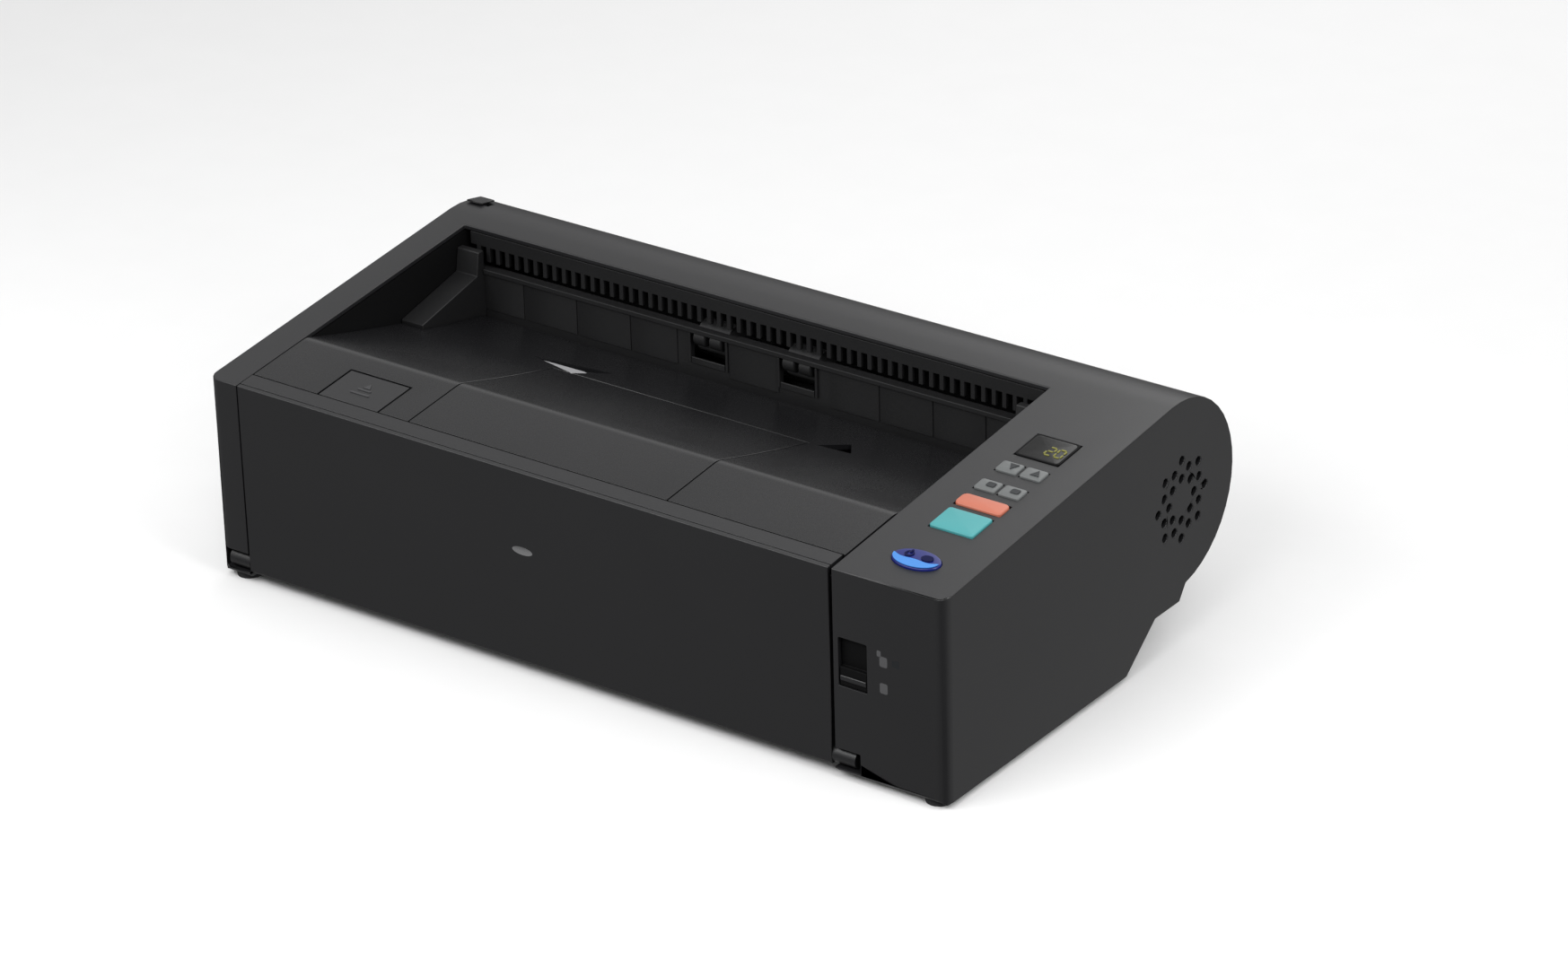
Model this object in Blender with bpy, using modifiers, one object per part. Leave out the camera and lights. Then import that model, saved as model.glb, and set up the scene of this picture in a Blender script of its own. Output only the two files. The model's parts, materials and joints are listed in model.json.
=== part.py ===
"""Wide-format sheet-fed document scanner: feed tray in front, U-turn at the rear, eject tray on top.

Metres, +Z up, +X to the right of someone facing the front, front towards -Y. The origin is on the
surface it stands on, under the middle of the body.
"""

import bmesh
import bpy
import numpy as np
from mathutils import Matrix, Vector

MM = 0.001
DEG = np.pi / 180

# Overall body
BODY_WIDTH = 424 * MM
BODY_DEPTH = 238 * MM
FRONT_HEIGHT = 105.5 * MM
TOP_SLOPE = 6.2 * DEG
REAR_RADIUS = 48.2 * MM
FOOT_HEIGHT = 3 * MM
WALL = 2.5 * MM
GAP = 0.3 * MM
FRONT_CORNER_RADIUS = 6 * MM
BOTTOM_CHAMFER = 2 * MM

# Foot of the side view, behind the standing surface
BASE_REAR = 28 * MM
UNDERSIDE_HEIGHT = 22.5 * MM
UNDERSIDE_FRONT = 52.4 * MM
UNDERSIDE_REAR = 73.3 * MM
REAR_ARC_END = -80.6 * DEG

# Well on top, between the left end and the control panel
PANEL_WIDTH = 60.5 * MM
LEFT_END_WIDTH = 17.5 * MM
WELL_REAR = 55.4 * MM
SIDE_FRAME_THICKNESS = 2.5 * MM
DOOR_SEAM_ANGLE = 45 * DEG

# Feed tray (front cover)
TRAY_GAP_LEFT = 0.5 * MM
TRAY_GAP_RIGHT = 1.8 * MM
TRAY_THICKNESS = 10.6 * MM
TRAY_BOTTOM = 6 * MM
TRAY_FLOOR = 3 * MM
TRAY_PLATE_THICKNESS = 2.5 * MM
TRAY_PLATE_TOP = 100 * MM
TRAY_AXIS_INSET = 4.5 * MM
TRAY_AXIS_HEIGHT = 10.4 * MM
TRAY_HUB_RADIUS = 4.4 * MM
TRAY_LUG_LENGTH = 12.5 * MM
LUG_NOTCH_CLEARANCE = 3 * MM
LUG_NOTCH_TOP = 15.6 * MM
LUG_NOTCH_REAR = 14 * MM
STRIP_DEPTH = 11.7 * MM
STRIP_THICKNESS = 2.6 * MM
EXTENSION_PLATE_THICKNESS = 1.6 * MM
EXTENSION_PLATE_BOTTOM = 16 * MM
EXTENSION_SIDE_MARGIN = 12 * MM

# Paper guides on the feed tray
PAPER_WIDTH = 302 * MM
GUIDE_THICKNESS = 3 * MM
GUIDE_REACH = 9.6 * MM
GUIDE_BOTTOM = 33 * MM
GUIDE_TOP = 76 * MM
GUIDE_FOOT_LENGTH = 24 * MM
GUIDE_FOOT_THICKNESS = 1.5 * MM
RACK_HEIGHT = 3 * MM
RACK_THICKNESS = 2.4 * MM
RACK_TRAVEL = 90 * MM
PINION_TEETH = 30
PINION_HEIGHT = 54.5 * MM
PINION_PIN_RADIUS = 2.5 * MM
RACK_OVERRUN = 8 * MM
GUIDE_SLOT_HEIGHT = 5 * MM
STEM_HEIGHT = 4 * MM
STEM_WIDTH = 8 * MM

# Eject tray (top of the lifting unit)
CREST_Y = -68 * MM
CREST_RADIUS = 14 * MM
FALL_ANGLE = -17 * DEG
FOOT_ANGLE = -10 * DEG
TRAY_FOOT_Y = 47.5 * MM
TRAY_FOOT_Z = 82 * MM
EJECT_GAP = 0.8 * MM
EJECT_WALL = 2.5 * MM
FLAP_WIDTH = 150.2 * MM
FLAP_CENTRE_X = -23.5 * MM
FLAP_REAR = 1.5 * MM
FLAP_THICKNESS = 2.1 * MM
FLAP_FLOOR = 1.8 * MM
FLAP_GAP = 0.7 * MM
CORNER_GUIDE_WIDTH = 13.5 * MM
CORNER_GUIDE_FRONT = 3 * MM
CORNER_CLEARANCE = 1.5 * MM
BUTTON_WIDTH = 35.5 * MM
BUTTON_DEPTH = 24.5 * MM
BUTTON_CENTRE_X = -135.7 * MM
BUTTON_GAP = 1.1 * MM

# Lifting unit
LIFT_AXIS_Y = 44.5 * MM
LIFT_AXIS_Z = 75.5 * MM
LIFT_ROD_RADIUS = 2.2 * MM
LIFT_RING_RADIUS = 4.2 * MM
LIFT_FRONT_Y = -96 * MM
LIFT_FRONT_TOP = 102.5 * MM
LUG_THICKNESS = 4 * MM
LUG_INSET = 13.8 * MM
LUG_TOP = 62 * MM
LUG_FRONT = -89 * MM
RUNNING = 0.35 * MM

# Paper path
PATH_START_Y = -100 * MM
PATH_START_Z = 30 * MM
PATH_SLOPE = 4.02 * DEG
PATH_HALF_GAP = 1.2 * MM
GUIDE_PLATE = 1.8 * MM
GUIDE_PLATE_FRONT = -97 * MM
GUIDE_PLATE_REAR = 62 * MM
RAMP_FOOT_Y = -105.5 * MM
RAMP_FOOT_Z = 17.5 * MM
TURN_CENTRE_Y = 72 * MM
TURN_CENTRE_Z = 74 * MM
TURN_RADIUS = 33 * MM
TURN_GUIDE = 2 * MM
TURN_START = -92 * DEG
TURN_END = 68 * DEG

# Rollers
SHAFT_RADIUS = 3 * MM
SLEEVE_RADIAL_GAP = 0.15 * MM
PICKUP_Y = -79 * MM
PICKUP_RADIUS = 8 * MM
FEED_Y = -58 * MM
FEED_RADIUS = 11 * MM
RETARD_RADIUS = 8.5 * MM
FIRST_DRIVE_Y = -34 * MM
SECOND_DRIVE_Y = 30 * MM
DRIVE_RADIUS = 7 * MM
PINCH_RADIUS = 5.6 * MM
TURN_ROLLER_RADIUS = 12 * MM
PINCH_SHAFT_RADIUS = 2 * MM
EXIT_ROLLER_Y = 62.5 * MM
EXIT_ROLLER_RADIUS = 8 * MM
EXIT_PATH_Z = 106.5 * MM
CENTRE_SLEEVE = 34 * MM
SLEEVE_LENGTH = 18 * MM
SLEEVE_SPACING = 53 * MM
SLEEVE_CENTRE = -16.5 * MM
WINDOW_MARGIN = 1.5 * MM

# Image sensors
SENSOR_LENGTH = 308 * MM
SENSOR_DEPTH = 16 * MM
SENSOR_HEIGHT = 18 * MM
LOWER_SENSOR_Y = -12 * MM
UPPER_SENSOR_Y = 12 * MM
SENSOR_GLASS_THICKNESS = 1.5 * MM

# Exit wall and comb
EXIT_WALL_Y = 52.5 * MM
EXIT_WALL_BOTTOM = 66 * MM
EXIT_WALL_THICKNESS = 2.5 * MM
LIP_TOP = 105.5 * MM
LIP_HEIGHT = 2.5 * MM
LIP_REACH = 2 * MM
WINDOW_HEIGHT = 14 * MM
WINDOW_TOP = 102.4 * MM
COMB_ROOT = 115 * MM
COMB_TIP = 107.2 * MM
COMB_PITCH = 5.9 * MM
COMB_TOOTH = 2.3 * MM
COMB_THICKNESS = 2.5 * MM
COMB_MARGIN = 3 * MM

# Rear cover
DOOR_AXIS_ANGLE = -78 * DEG
DOOR_HUB_RADIUS = 2.8 * MM
DOOR_GAP = 0.6 * MM
LATCH_WIDTH = 9 * MM
LATCH_LENGTH = 11 * MM
LATCH_RISE = 1.4 * MM
LATCH_ANGLE = 78 * DEG
LATCH_TRAVEL = 4 * MM
LATCH_INSET = 2.6 * MM
LATCH_STEM = 5 * MM

# Control panel, measured along the sloping top from the front edge
KEY_DEPTH = 5 * MM
KEY_PROUD = 0.9 * MM
KEY_GAP = 0.35 * MM
POWER_SIZE = (25 * MM, 15 * MM)
POWER_PLACE = 23 * MM
START_SIZE = (23.6 * MM, 17 * MM)
START_PLACE = 57.8 * MM
STOP_SIZE = (25 * MM, 9.4 * MM)
STOP_PLACE = 75 * MM
SMALL_KEY_SIZE = (11.4 * MM, 8.4 * MM)
SMALL_KEY_SPACING = 13 * MM
SMALL_KEY_PLACES = (89.6 * MM, 107 * MM)
DISPLAY_SIZE = (24 * MM, 20 * MM)
DISPLAY_PLACE = 128.3 * MM
DISPLAY_THICKNESS = 1.6 * MM
BOARD_THICKNESS = 1.6 * MM
CONTROL_BOARD_DROP = 9.5 * MM
CONTROL_BOARD_MARGIN = 7 * MM

# Feed selector
SELECTOR_SLOT_WIDTH = 15.5 * MM
SELECTOR_SLOT_LEFT = 3 * MM
SELECTOR_SLOT_BOTTOM = 47.8 * MM
SELECTOR_SLOT_HEIGHT = 24.4 * MM
SELECTOR_HEIGHT = 9 * MM
SELECTOR_GAP = 0.5 * MM
SELECTOR_RECESS = 0.5 * MM
SELECTOR_PLATE = 1.5 * MM
SELECTOR_PLATE_MARGIN = 2.5 * MM

# Vent and fan
VENT_CENTRE_Y = 74.4 * MM
VENT_CENTRE_Z = 75.2 * MM
VENT_HOLE_RADIUS = 2.3 * MM
VENT_RINGS = ((10.7 * MM, 0.0), (16 * MM, 0.5), (20 * MM, 0.0))
VENT_COUNT = 8
FAN_SIZE = 50 * MM
FAN_DEPTH = 12 * MM
FAN_BORE = 23.5 * MM
FAN_TIP = 22.3 * MM
FAN_HUB = 9 * MM
FAN_BLADES = 7
FAN_BACK = 2 * MM
FAN_WALL_GAP = 2 * MM

# Drive
GEAR_MODULE = 1 * MM
MAIN_TEETH = 56
ROLLER_GEAR_TEETH = 34
MOTOR_TEETH = 14
MOTOR_ANGLE = 50 * DEG
GEAR_WIDTH = 6 * MM
BELT_WIDTH = 4.5 * MM
BELT_THICKNESS = 1.2 * MM
BELT_GAP = 0.35 * MM
MAIN_PULLEY_RADIUS = 10 * MM
STACK_GAP = 2 * MM
MOTOR_RADIUS = 18 * MM
MOTOR_LENGTH = 25 * MM
BRACKET_THICKNESS = 1.5 * MM
BRACKET_MARGIN = 6 * MM
STANDOFF_RADIUS = 3 * MM

# Boards, sockets, feet
MAIN_BOARD_DEPTH = 70 * MM
MAIN_BOARD_FRONT = -98 * MM
MAIN_BOARD_HEIGHT = 11 * MM
SOCKET_INSET = 23 * MM
SOCKET_SIZE = 12 * MM
SOCKET_LENGTH = 15 * MM
SOCKET_WALL = 1.4 * MM
SOCKET_CAVITY = 10 * MM
SOCKET_SPACING = 18 * MM
JACK_RADIUS = 3.4 * MM
JACK_PIN_RADIUS = 1 * MM
FOOT_RADIUS = 6.5 * MM
FOOT_INSET_X = 10 * MM
FOOT_FRONT_Y = -110 * MM
FOOT_REAR_Y = 20 * MM

ARC_STEPS = 20
ROUND_STEPS = 20

# Places that follow from the sizes above
LEFT_X = -BODY_WIDTH / 2
RIGHT_X = BODY_WIDTH / 2
FRONT_Y = -BODY_DEPTH / 2
REAR_Y = BODY_DEPTH / 2
WELL_LEFT = LEFT_X + LEFT_END_WIDTH
WELL_RIGHT = RIGHT_X - PANEL_WIDTH
WELL_CENTRE = (WELL_LEFT + WELL_RIGHT) / 2
PANEL_CENTRE = (WELL_RIGHT + RIGHT_X) / 2
REAR_CENTRE_Y = REAR_Y - REAR_RADIUS
REAR_CENTRE_Z = (
    FRONT_HEIGHT + (REAR_CENTRE_Y - FRONT_Y) * np.tan(TOP_SLOPE) - REAR_RADIUS / np.cos(TOP_SLOPE)
)
TRAY_LEFT = WELL_LEFT + TRAY_GAP_LEFT
TRAY_RIGHT = WELL_RIGHT - TRAY_GAP_RIGHT
TRAY_REAR = FRONT_Y + TRAY_THICKNESS
TRAY_AXIS = (FRONT_Y + TRAY_AXIS_INSET, TRAY_AXIS_HEIGHT)
STRIP_REAR = FRONT_Y + STRIP_DEPTH
LAND_FRONT = STRIP_REAR + GAP * 2
EJECT_LEFT = WELL_LEFT + EJECT_GAP
EJECT_RIGHT = WELL_RIGHT - EJECT_GAP
BELT_X = WELL_RIGHT + SIDE_FRAME_THICKNESS + STACK_GAP
GEAR_X = BELT_X + BELT_WIDTH + STACK_GAP
BRACKET_X = GEAR_X + GEAR_WIDTH + STACK_GAP / 2

WELD_DISTANCE = 1e-6
MERGE_DIGITS = 9
PIVOT_SIZE = 10 * MM
TOOTH_ROOT = 1.15
TOOTH_TIP = 0.85
TOOTH_ROOT_SHARE = 0.3
TOOTH_TIP_SHARE = 0.12
CURVE_STEPS = 9
CARRIER_STEPS = 8
VENT_STEPS = 8
BRACKET_STEPS = 12
LUG_STEPS = 5
MOUTH_RISE = 5 * GUIDE_PLATE
LUG_REACH = 6 * LIFT_RING_RADIUS
TRAY_PLAY = GAP / 6
BLADE_PITCH = 0.6
BLADE_NARROWING = 0.75
MOTOR_SHAFT_SHARE = 0.8
BRACKET_ANGLES = (2.75, 2.05, 0.25)


def top_height(y):
    """Height of the sloping top at y."""
    return FRONT_HEIGHT + (y - FRONT_Y) * np.tan(TOP_SLOPE)


def path_height(y):
    """Height of the sheet between the lower and upper guides."""
    return PATH_START_Z + (y - PATH_START_Y) * np.tan(PATH_SLOPE)


def arc(centre_y, centre_z, radius, start, end, steps):
    angles = np.linspace(start, end, steps + 1)
    return [(centre_y + radius * np.cos(a), centre_z + radius * np.sin(a)) for a in angles]


def side_outline():
    """Outline of an end of the body in (y, z), anticlockwise from the bottom at the front."""
    bottom = FOOT_HEIGHT
    foot = [
        (FRONT_Y + BOTTOM_CHAMFER, bottom),
        (BASE_REAR, bottom),
        (UNDERSIDE_FRONT, UNDERSIDE_HEIGHT),
        (UNDERSIDE_REAR, UNDERSIDE_HEIGHT),
    ]
    rear = arc(
        REAR_CENTRE_Y, REAR_CENTRE_Z, REAR_RADIUS, REAR_ARC_END, np.pi / 2 + TOP_SLOPE, ARC_STEPS
    )
    front = [(FRONT_Y, FRONT_HEIGHT), (FRONT_Y, bottom + BOTTOM_CHAMFER)]
    return foot + rear + front


def inset_outline(points, distance):
    """Every edge of a closed anticlockwise outline moved inwards by distance."""
    p = np.array(points)
    edge = np.roll(p, -1, axis=0) - p
    edge /= np.linalg.norm(edge, axis=1)[:, None]
    inward = np.stack([-edge[:, 1], edge[:, 0]], axis=1)
    before = np.roll(inward, 1, axis=0)
    miter = before + inward
    miter /= (1 + (before * inward).sum(axis=1))[:, None]
    return [tuple(q) for q in p + miter * distance]


# Blender helpers


def clear_scene():
    for obj in list(bpy.data.objects):
        bpy.data.objects.remove(obj, do_unlink=True)


def new_collection(name):
    collection = bpy.data.collections.new(name)
    bpy.context.scene.collection.children.link(collection)
    return collection


def make_material(name, colour, roughness, metallic=0.0):
    material = bpy.data.materials.new(name)
    material.use_nodes = True
    shader = material.node_tree.nodes["Principled BSDF"]
    shader.inputs["Base Color"].default_value = (*colour, 1)
    shader.inputs["Roughness"].default_value = roughness
    shader.inputs["Metallic"].default_value = metallic
    return material


def add_object(name, mesh, material=None, cutter=False):
    obj = bpy.data.objects.new(name, mesh)
    if cutter:
        obj.hide_render = True
        obj.display_type = "WIRE"
        CUTTERS.objects.link(obj)
    else:
        obj.data.materials.append(material)
        PARTS.objects.link(obj)
    return obj


def box(name, low, high, material=None, cutter=False):
    """A box between two corners."""
    mesh = bpy.data.meshes.new(name)
    bm = bmesh.new()
    bmesh.ops.create_cube(bm, size=1)
    low, high = Vector(low), Vector(high)
    bmesh.ops.scale(bm, vec=high - low, verts=bm.verts)
    bmesh.ops.translate(bm, vec=(low + high) / 2, verts=bm.verts)
    bm.to_mesh(mesh)
    bm.free()
    return add_object(name, mesh, material, cutter)


def rod(name, x0, x1, y, z, radius, material=None, cutter=False, steps=ROUND_STEPS):
    """A round bar along X, its centre line at (y, z)."""
    mesh = bpy.data.meshes.new(name)
    bm = bmesh.new()
    bmesh.ops.create_cone(
        bm, cap_ends=True, segments=steps, radius1=radius, radius2=radius, depth=x1 - x0
    )
    turn = Matrix.Rotation(np.pi / 2, 4, "Y")
    bmesh.ops.transform(bm, matrix=turn, verts=bm.verts)
    bmesh.ops.translate(bm, vec=((x0 + x1) / 2, y, z), verts=bm.verts)
    bm.to_mesh(mesh)
    bm.free()
    return add_object(name, mesh, material, cutter)


def post(name, x, y, z0, z1, radius):
    """A round upright cutter."""
    mesh = bpy.data.meshes.new(name)
    bm = bmesh.new()
    bmesh.ops.create_cone(
        bm, cap_ends=True, segments=ROUND_STEPS, radius1=radius, radius2=radius, depth=z1 - z0
    )
    bmesh.ops.translate(bm, vec=(x, y, (z0 + z1) / 2), verts=bm.verts)
    bm.to_mesh(mesh)
    bm.free()
    return add_object(name, mesh, cutter=True)


def outline_solid(name, outlines, start, end, material=None, cutter=False, along="X"):
    """Closed outlines, (y, z) carried along X or (x, z) carried along Y. An inner one is a hole."""
    mesh = filled_curve(name, outlines) if len(outlines) > 1 else filled_loop(name, outlines[0])
    bm = bmesh.new()
    bm.from_mesh(mesh)
    bmesh.ops.remove_doubles(bm, verts=bm.verts, dist=WELD_DISTANCE)
    swept = bmesh.ops.extrude_face_region(bm, geom=bm.faces[:])
    moved = [item for item in swept["geom"] if isinstance(item, bmesh.types.BMVert)]
    bmesh.ops.translate(bm, vec=(0, 0, end - start), verts=moved)
    if along == "X":
        turn = Matrix(((0, 0, 1, start), (1, 0, 0, 0), (0, 1, 0, 0), (0, 0, 0, 1)))
    else:
        turn = Matrix(((1, 0, 0, 0), (0, 0, -1, end), (0, 1, 0, 0), (0, 0, 0, 1)))
    bmesh.ops.transform(bm, matrix=turn, verts=bm.verts)
    bmesh.ops.recalc_face_normals(bm, faces=bm.faces)
    bm.to_mesh(mesh)
    bm.free()
    return add_object(name, mesh, material, cutter)


def filled_loop(name, points):
    """One flat face inside a closed outline."""
    mesh = bpy.data.meshes.new(name)
    bm = bmesh.new()
    verts = [bm.verts.new((u, v, 0)) for u, v in points]
    edges = [bm.edges.new(pair) for pair in zip(verts, verts[1:] + verts[:1])]
    bmesh.ops.contextual_create(bm, geom=edges)
    bm.to_mesh(mesh)
    bm.free()
    return mesh


def filled_curve(name, outlines):
    """Flat faces between an outer outline and the holes inside it."""
    curve = bpy.data.curves.new(name, "CURVE")
    curve.dimensions = "2D"
    curve.fill_mode = "BOTH"
    for points in outlines:
        spline = curve.splines.new("POLY")
        spline.points.add(len(points) - 1)
        for point, (u, v) in zip(spline.points, points):
            point.co = (u, v, 0, 1)
        spline.use_cyclic_u = True
    helper = bpy.data.objects.new(name, curve)
    bpy.context.scene.collection.objects.link(helper)
    bpy.context.view_layer.update()
    graph = bpy.context.evaluated_depsgraph_get()
    mesh = bpy.data.meshes.new_from_object(helper.evaluated_get(graph))
    bpy.data.objects.remove(helper, do_unlink=True)
    mesh.name = name
    return mesh


def bent_sheet(name, points, thickness, x0, x1, material=None, cutter=False):
    """An open (y, z) line carried along X, thickened to the right of its direction."""
    mesh = bpy.data.meshes.new(name)
    bm = bmesh.new()
    verts = [bm.verts.new((x0, y, z)) for y, z in points]
    edges = [bm.edges.new(pair) for pair in zip(verts, verts[1:])]
    swept = bmesh.ops.extrude_edge_only(bm, edges=edges)
    moved = [item for item in swept["geom"] if isinstance(item, bmesh.types.BMVert)]
    bmesh.ops.translate(bm, vec=(x1 - x0, 0, 0), verts=moved)
    first = np.subtract(points[1], points[0])
    left = Vector((0, -first[1], first[0]))
    bm.normal_update()
    if edges[0].link_faces[0].normal.dot(left) < 0:
        bmesh.ops.reverse_faces(bm, faces=bm.faces)
    bm.to_mesh(mesh)
    bm.free()
    obj = add_object(name, mesh, material, cutter)
    solid = obj.modifiers.new("Thickness", "SOLIDIFY")
    solid.thickness = thickness
    solid.offset = -1
    solid.use_even_offset = True
    solid.use_quality_normals = True
    return obj


def turned(name, stations, y, z, material):
    """A round piece along X. stations lists (x where it starts, radius), and ends with (x, 0)."""
    mesh = bpy.data.meshes.new(name)
    bm = bmesh.new()
    profile = [(0, stations[0][0])]
    for (x, radius), (x_next, _) in zip(stations, stations[1:]):
        profile += [(radius, x), (radius, x_next)]
    profile.append((0, stations[-1][0]))
    verts = [bm.verts.new((r, 0, x)) for r, x in reversed(profile)]
    for pair in zip(verts, verts[1:]):
        bm.edges.new(pair)
    bm.to_mesh(mesh)
    bm.free()
    obj = add_object(name, mesh, material)
    obj.rotation_euler = (0, np.pi / 2, 0)
    obj.location = (0, y, z)
    screw = obj.modifiers.new("Turn", "SCREW")
    screw.steps = ROUND_STEPS
    screw.render_steps = ROUND_STEPS
    screw.use_merge_vertices = True
    screw.merge_threshold = WELD_DISTANCE
    screw.use_smooth_shade = True
    return obj


def combine(obj, others, operation):
    for other in others:
        modifier = obj.modifiers.new(f"{operation.title()} {other.name}", "BOOLEAN")
        modifier.operation = operation
        modifier.solver = "EXACT"
        modifier.object = other
    return obj


def cut(obj, *cutters):
    return combine(obj, cutters, "DIFFERENCE")


def join(obj, *helpers):
    return combine(obj, helpers, "UNION")


def pivot(name, x, y, z, parent=None):
    """An empty on a joint's axis."""
    empty = bpy.data.objects.new(name, None)
    empty.empty_display_size = PIVOT_SIZE
    PARTS.objects.link(empty)
    attach(empty, parent)
    move_origin(empty, (x, y, z))
    return empty


def attach(obj, parent):
    """Parents an object without moving it."""
    if parent is None:
        return
    bpy.context.view_layer.update()
    world = obj.matrix_world.copy()
    obj.parent = parent
    obj.matrix_parent_inverse = parent.matrix_world.inverted()
    obj.matrix_world = world
    bpy.context.view_layer.update()


def move_origin(obj, place):
    """Puts an object's origin at place and leaves its mesh where it is."""
    bpy.context.view_layer.update()
    world = obj.matrix_world.copy()
    target = world.copy()
    target.translation = Vector(place)
    if obj.data is not None:
        obj.data.transform(target.inverted() @ world)
    obj.matrix_world = target
    bpy.context.view_layer.update()


def on_slope(along, lift=0.0):
    """(y, z) of a point on the sloping top, measured from its front edge."""
    y = FRONT_Y + along * np.cos(TOP_SLOPE) - lift * np.sin(TOP_SLOPE)
    z = FRONT_HEIGHT + along * np.sin(TOP_SLOPE) + lift * np.cos(TOP_SLOPE)
    return y, z


def tilt(obj, x, y, z, angle):
    """Places an object whose mesh is built about its own origin, turned about X."""
    obj.location = (x, y, z)
    obj.rotation_euler = (angle, 0, 0)
    bpy.context.view_layer.update()
    return obj


def sloped_box(name, x, along, size, low, high, material=None, cutter=False):
    """A box on the sloping top, from low to high above its surface."""
    half_x, half_y = size[0] / 2, size[1] / 2
    obj = box(name, (-half_x, -half_y, low), (half_x, half_y, high), material, cutter)
    y, z = on_slope(along)
    return tilt(obj, x, y, z, TOP_SLOPE)


def sloped_oval(name, x, along, size, low, high, material=None, cutter=False):
    """An oval block on the sloping top, from low to high above its surface."""
    mesh = bpy.data.meshes.new(name)
    bm = bmesh.new()
    bmesh.ops.create_cone(
        bm, cap_ends=True, segments=ROUND_STEPS, radius1=0.5, radius2=0.5, depth=high - low
    )
    bmesh.ops.translate(bm, vec=(0, 0, (low + high) / 2), verts=bm.verts)
    bmesh.ops.scale(bm, vec=(size[0], size[1], 1), verts=bm.verts)
    bm.to_mesh(mesh)
    bm.free()
    y, z = on_slope(along)
    return tilt(add_object(name, mesh, material, cutter), x, y, z, TOP_SLOPE)


def tooth_corners(root, tip):
    # radius and share of the pitch at the four corners of one tooth
    return (
        (root, -TOOTH_ROOT_SHARE),
        (tip, -TOOTH_TIP_SHARE),
        (tip, TOOTH_TIP_SHARE),
        (root, TOOTH_ROOT_SHARE),
    )


def gear_outline(teeth, y, z, phase):
    """Straight-sided teeth on a wheel, the first one at the angle phase."""
    pitch = 2 * np.pi / teeth
    radius = GEAR_MODULE * teeth / 2
    root = radius - TOOTH_ROOT * GEAR_MODULE
    tip = radius + TOOTH_TIP * GEAR_MODULE
    points = []
    for tooth in range(teeth):
        middle = phase + tooth * pitch
        for r, share in tooth_corners(root, tip):
            angle = middle + share * pitch
            points.append((y + r * np.cos(angle), z + r * np.sin(angle)))
    return points


def meshing_phase(own_teeth, other_teeth, other_phase, direction):
    """Phase that puts a gap of a wheel at the other wheel's tooth. direction runs other to own."""
    own_radius = GEAR_MODULE * own_teeth / 2
    other_radius = GEAR_MODULE * other_teeth / 2
    arc_length = (other_phase - direction) * other_radius + np.pi * GEAR_MODULE / 2
    return direction + np.pi - arc_length / own_radius


def belt_outline(wheels, grow):
    """The taut loop around wheels, each (y, z, radius), grown by a distance."""
    points = []
    for y, z, radius in wheels:
        points += arc(y, z, radius + grow, 0, 2 * np.pi, 2 * ROUND_STEPS)[:-1]
    points = sorted(set((round(y, MERGE_DIGITS), round(z, MERGE_DIGITS)) for y, z in points))

    def half(ordered):
        chain = []
        for p in ordered:
            while len(chain) > 1:
                (ay, az), (by, bz) = chain[-2:]
                if (by - ay) * (p[1] - az) - (bz - az) * (p[0] - ay) > 0:
                    break
                chain.pop()
            chain.append(p)
        return chain[:-1]

    return half(points) + half(points[::-1])


def below_path(y, radius):
    return path_height(y) - radius - SLEEVE_RADIAL_GAP


def above_path(y, radius):
    return path_height(y) + radius + SLEEVE_RADIAL_GAP


def window_half(radius):
    """Half the length of a guide window that a roller reaches through."""
    depth = PATH_HALF_GAP + GUIDE_PLATE + SLEEVE_RADIAL_GAP
    return np.sqrt(radius**2 - max(radius - depth, 0) ** 2) + WINDOW_MARGIN


def pair_sleeves():
    """(left, right) of the two sleeves that sit either side of the middle."""
    return [
        (SLEEVE_CENTRE + (side * SLEEVE_SPACING - SLEEVE_LENGTH) / 2,
         SLEEVE_CENTRE + (side * SLEEVE_SPACING + SLEEVE_LENGTH) / 2)
        for side in (-1, 1)
    ]


def centre_sleeve():
    return [(WELL_CENTRE - CENTRE_SLEEVE / 2, WELL_CENTRE + CENTRE_SLEEVE / 2)]


def sleeve_stations(sleeves, left, right, shaft, radius, pulley=None):
    """Stations of a shaft with rubber sleeves and, at its right end, a pulley."""
    stations = [(left, shaft)]
    for start, end in sleeves:
        stations += [(start, radius), (end, shaft)]
    if pulley is not None:
        stations += [(BELT_X, pulley), (BELT_X + BELT_WIDTH, shaft)]
    return stations + [(right, 0)]


# Body and frames


def make_main_housing(material):
    outline = side_outline()
    housing = outline_solid("main_housing", [outline], LEFT_X, RIGHT_X, material)
    inner = outline_solid(
        "housing_hollow", [inset_outline(outline, WALL)], LEFT_X + WALL, RIGHT_X - WALL, cutter=True
    )
    well = box(
        "well_opening",
        (WELL_LEFT, FRONT_Y - WALL, -WALL),
        (WELL_RIGHT, WELL_REAR, 2 * FRONT_HEIGHT),
        cutter=True,
    )
    far = 2 * REAR_RADIUS
    seam = (
        REAR_CENTRE_Y + far * np.cos(DOOR_SEAM_ANGLE),
        REAR_CENTRE_Z + far * np.sin(DOOR_SEAM_ANGLE),
    )
    door_hole = [
        (WELL_REAR - WALL, -WALL),
        (seam[0], -WALL),
        seam,
        (REAR_CENTRE_Y, REAR_CENTRE_Z),
        (WELL_REAR - WALL, REAR_CENTRE_Z),
    ]
    door = outline_solid("door_opening", [door_hole], WELL_LEFT, WELL_RIGHT, cutter=True)
    cut(housing, *corner_cutters())
    cut(housing, inner, well, door, selector_slot())
    cut(housing, *lug_notches(), *key_holes(), *vent_holes(), *socket_holes(), latch_slot())
    return housing


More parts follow.
